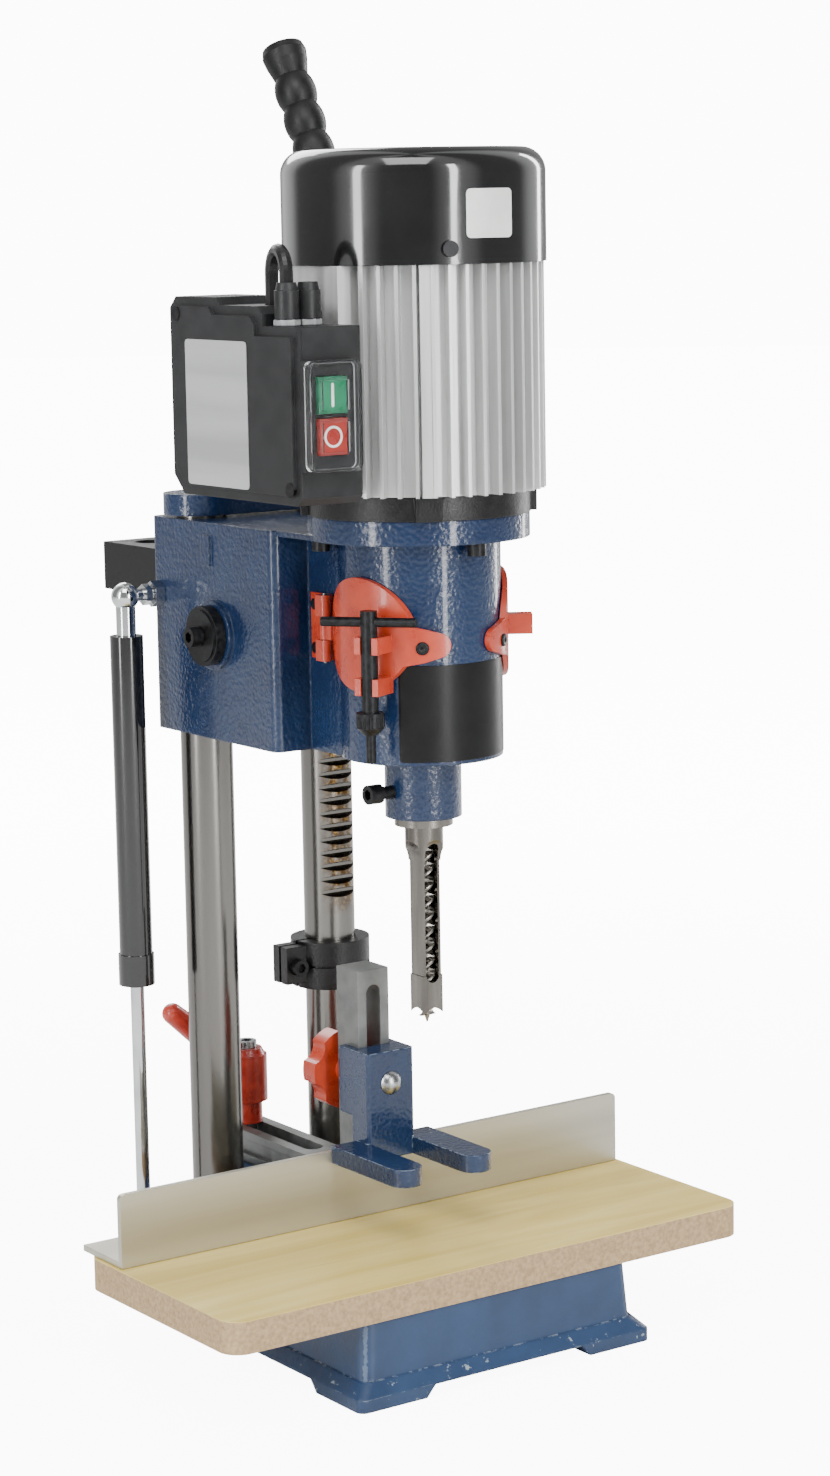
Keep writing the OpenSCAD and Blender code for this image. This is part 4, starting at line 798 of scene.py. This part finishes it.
def studio_world(scene):
    """White surround for the eye, with soft light and dark bands for what reflects it.

    The bands go by compass direction: the sine of 4 * atan2(y, x) + 1.29.
    """
    world = bpy.data.worlds.new("studio")
    scene.world = world
    world.use_nodes = True
    tree = world.node_tree
    ground = tree.nodes["Background"]
    where = (add(tree, "ShaderNodeTexCoord"), "Generated")
    split = add(tree, "ShaderNodeSeparateXYZ", Vector=where)
    turn = calc(tree, "ARCTAN2", (split, "Y"), (split, "X"))
    beat = calc(tree, "MULTIPLY_ADD", (turn, 0), 4.0, 1.29)
    wave = calc(tree, "SINE", (beat, 0))
    level = remap(tree, (wave, 0), -0.2, 0.95, 0.36, 1.4, "SMOOTHSTEP")
    seen = add(tree, "ShaderNodeLightPath")
    shade = add(
        tree, "ShaderNodeMix", {"data_type": "FLOAT"}, _0=(seen, "Is Camera Ray"), _2=(level, 0),
        _3=FAR_WHITE,
    )
    dress(ground, tree, Strength=(shade, 0), Color=(1.0, 1.0, 1.0, 1.0))


def set_camera(scene):
    """Camera at the photograph's angle: ahead = (sin t cos d, cos t cos d, -sin d), then rolled."""
    turn, down, roll = (math.radians(v) for v in CAMERA_ANGLES)
    level = math.cos(down)
    ahead = Vector((math.sin(turn) * level, math.cos(turn) * level, -math.sin(down)))
    right = ahead.cross(Vector((0, 0, 1))).normalized()
    up = right.cross(ahead)
    side = math.cos(roll) * right + math.sin(roll) * up
    top = -math.sin(roll) * right + math.cos(roll) * up
    data = bpy.data.cameras.new("camera")
    data.sensor_fit = "AUTO"
    data.sensor_width = SENSOR_MM
    data.lens = FOCAL_PX * SENSOR_MM / PHOTO_HEIGHT_PX
    camera = bpy.data.objects.new("camera", data)
    scene.collection.objects.link(camera)
    pose = Matrix((side, top, -ahead)).transposed().to_4x4()
    pose.translation = CAMERA_AT
    camera.matrix_world = pose
    scene.camera = camera


class MORTISER_PT_panel(bpy.types.Panel):
    """Lists the steps and the values that a user may change."""

    bl_idname = "MORTISER_PT_panel"
    bl_label = "Mortiser"
    bl_space_type = "VIEW_3D"
    bl_region_type = "UI"
    bl_category = "Mortiser"

    def draw(self, context):
        for group in (context.scene.mortiser_finish, context.scene.mortiser_plates):
            for name in group.__annotations__:
                self.layout.prop(group, name)
        for operator in OPERATORS:
            self.layout.operator(operator.bl_idname)


OPERATORS = (
    MORTISER_OT_castings, MORTISER_OT_metals, MORTISER_OT_plates, MORTISER_OT_switch,
    MORTISER_OT_doors, MORTISER_OT_stage,
)
CLASSES = (MortiserFinish, MortiserPlates, *OPERATORS, MORTISER_PT_panel)


def register():
    """Registers the classes and the scene's two groups of values."""
    for one in CLASSES:
        bpy.utils.register_class(one)
    bpy.types.Scene.mortiser_finish = bpy.props.PointerProperty(type=MortiserFinish)
    bpy.types.Scene.mortiser_plates = bpy.props.PointerProperty(type=MortiserPlates)


def unregister():
    """Takes them away again."""
    del bpy.types.Scene.mortiser_plates
    del bpy.types.Scene.mortiser_finish
    for one in reversed(CLASSES):
        bpy.utils.unregister_class(one)


def main():
    """Runs every step in order."""
    register()
    bpy.ops.mortiser.castings()
    bpy.ops.mortiser.metals()
    bpy.ops.mortiser.plates()
    bpy.ops.mortiser.switch()
    bpy.ops.mortiser.doors()
    bpy.ops.mortiser.stage()


if __name__ == "__main__":
    main()
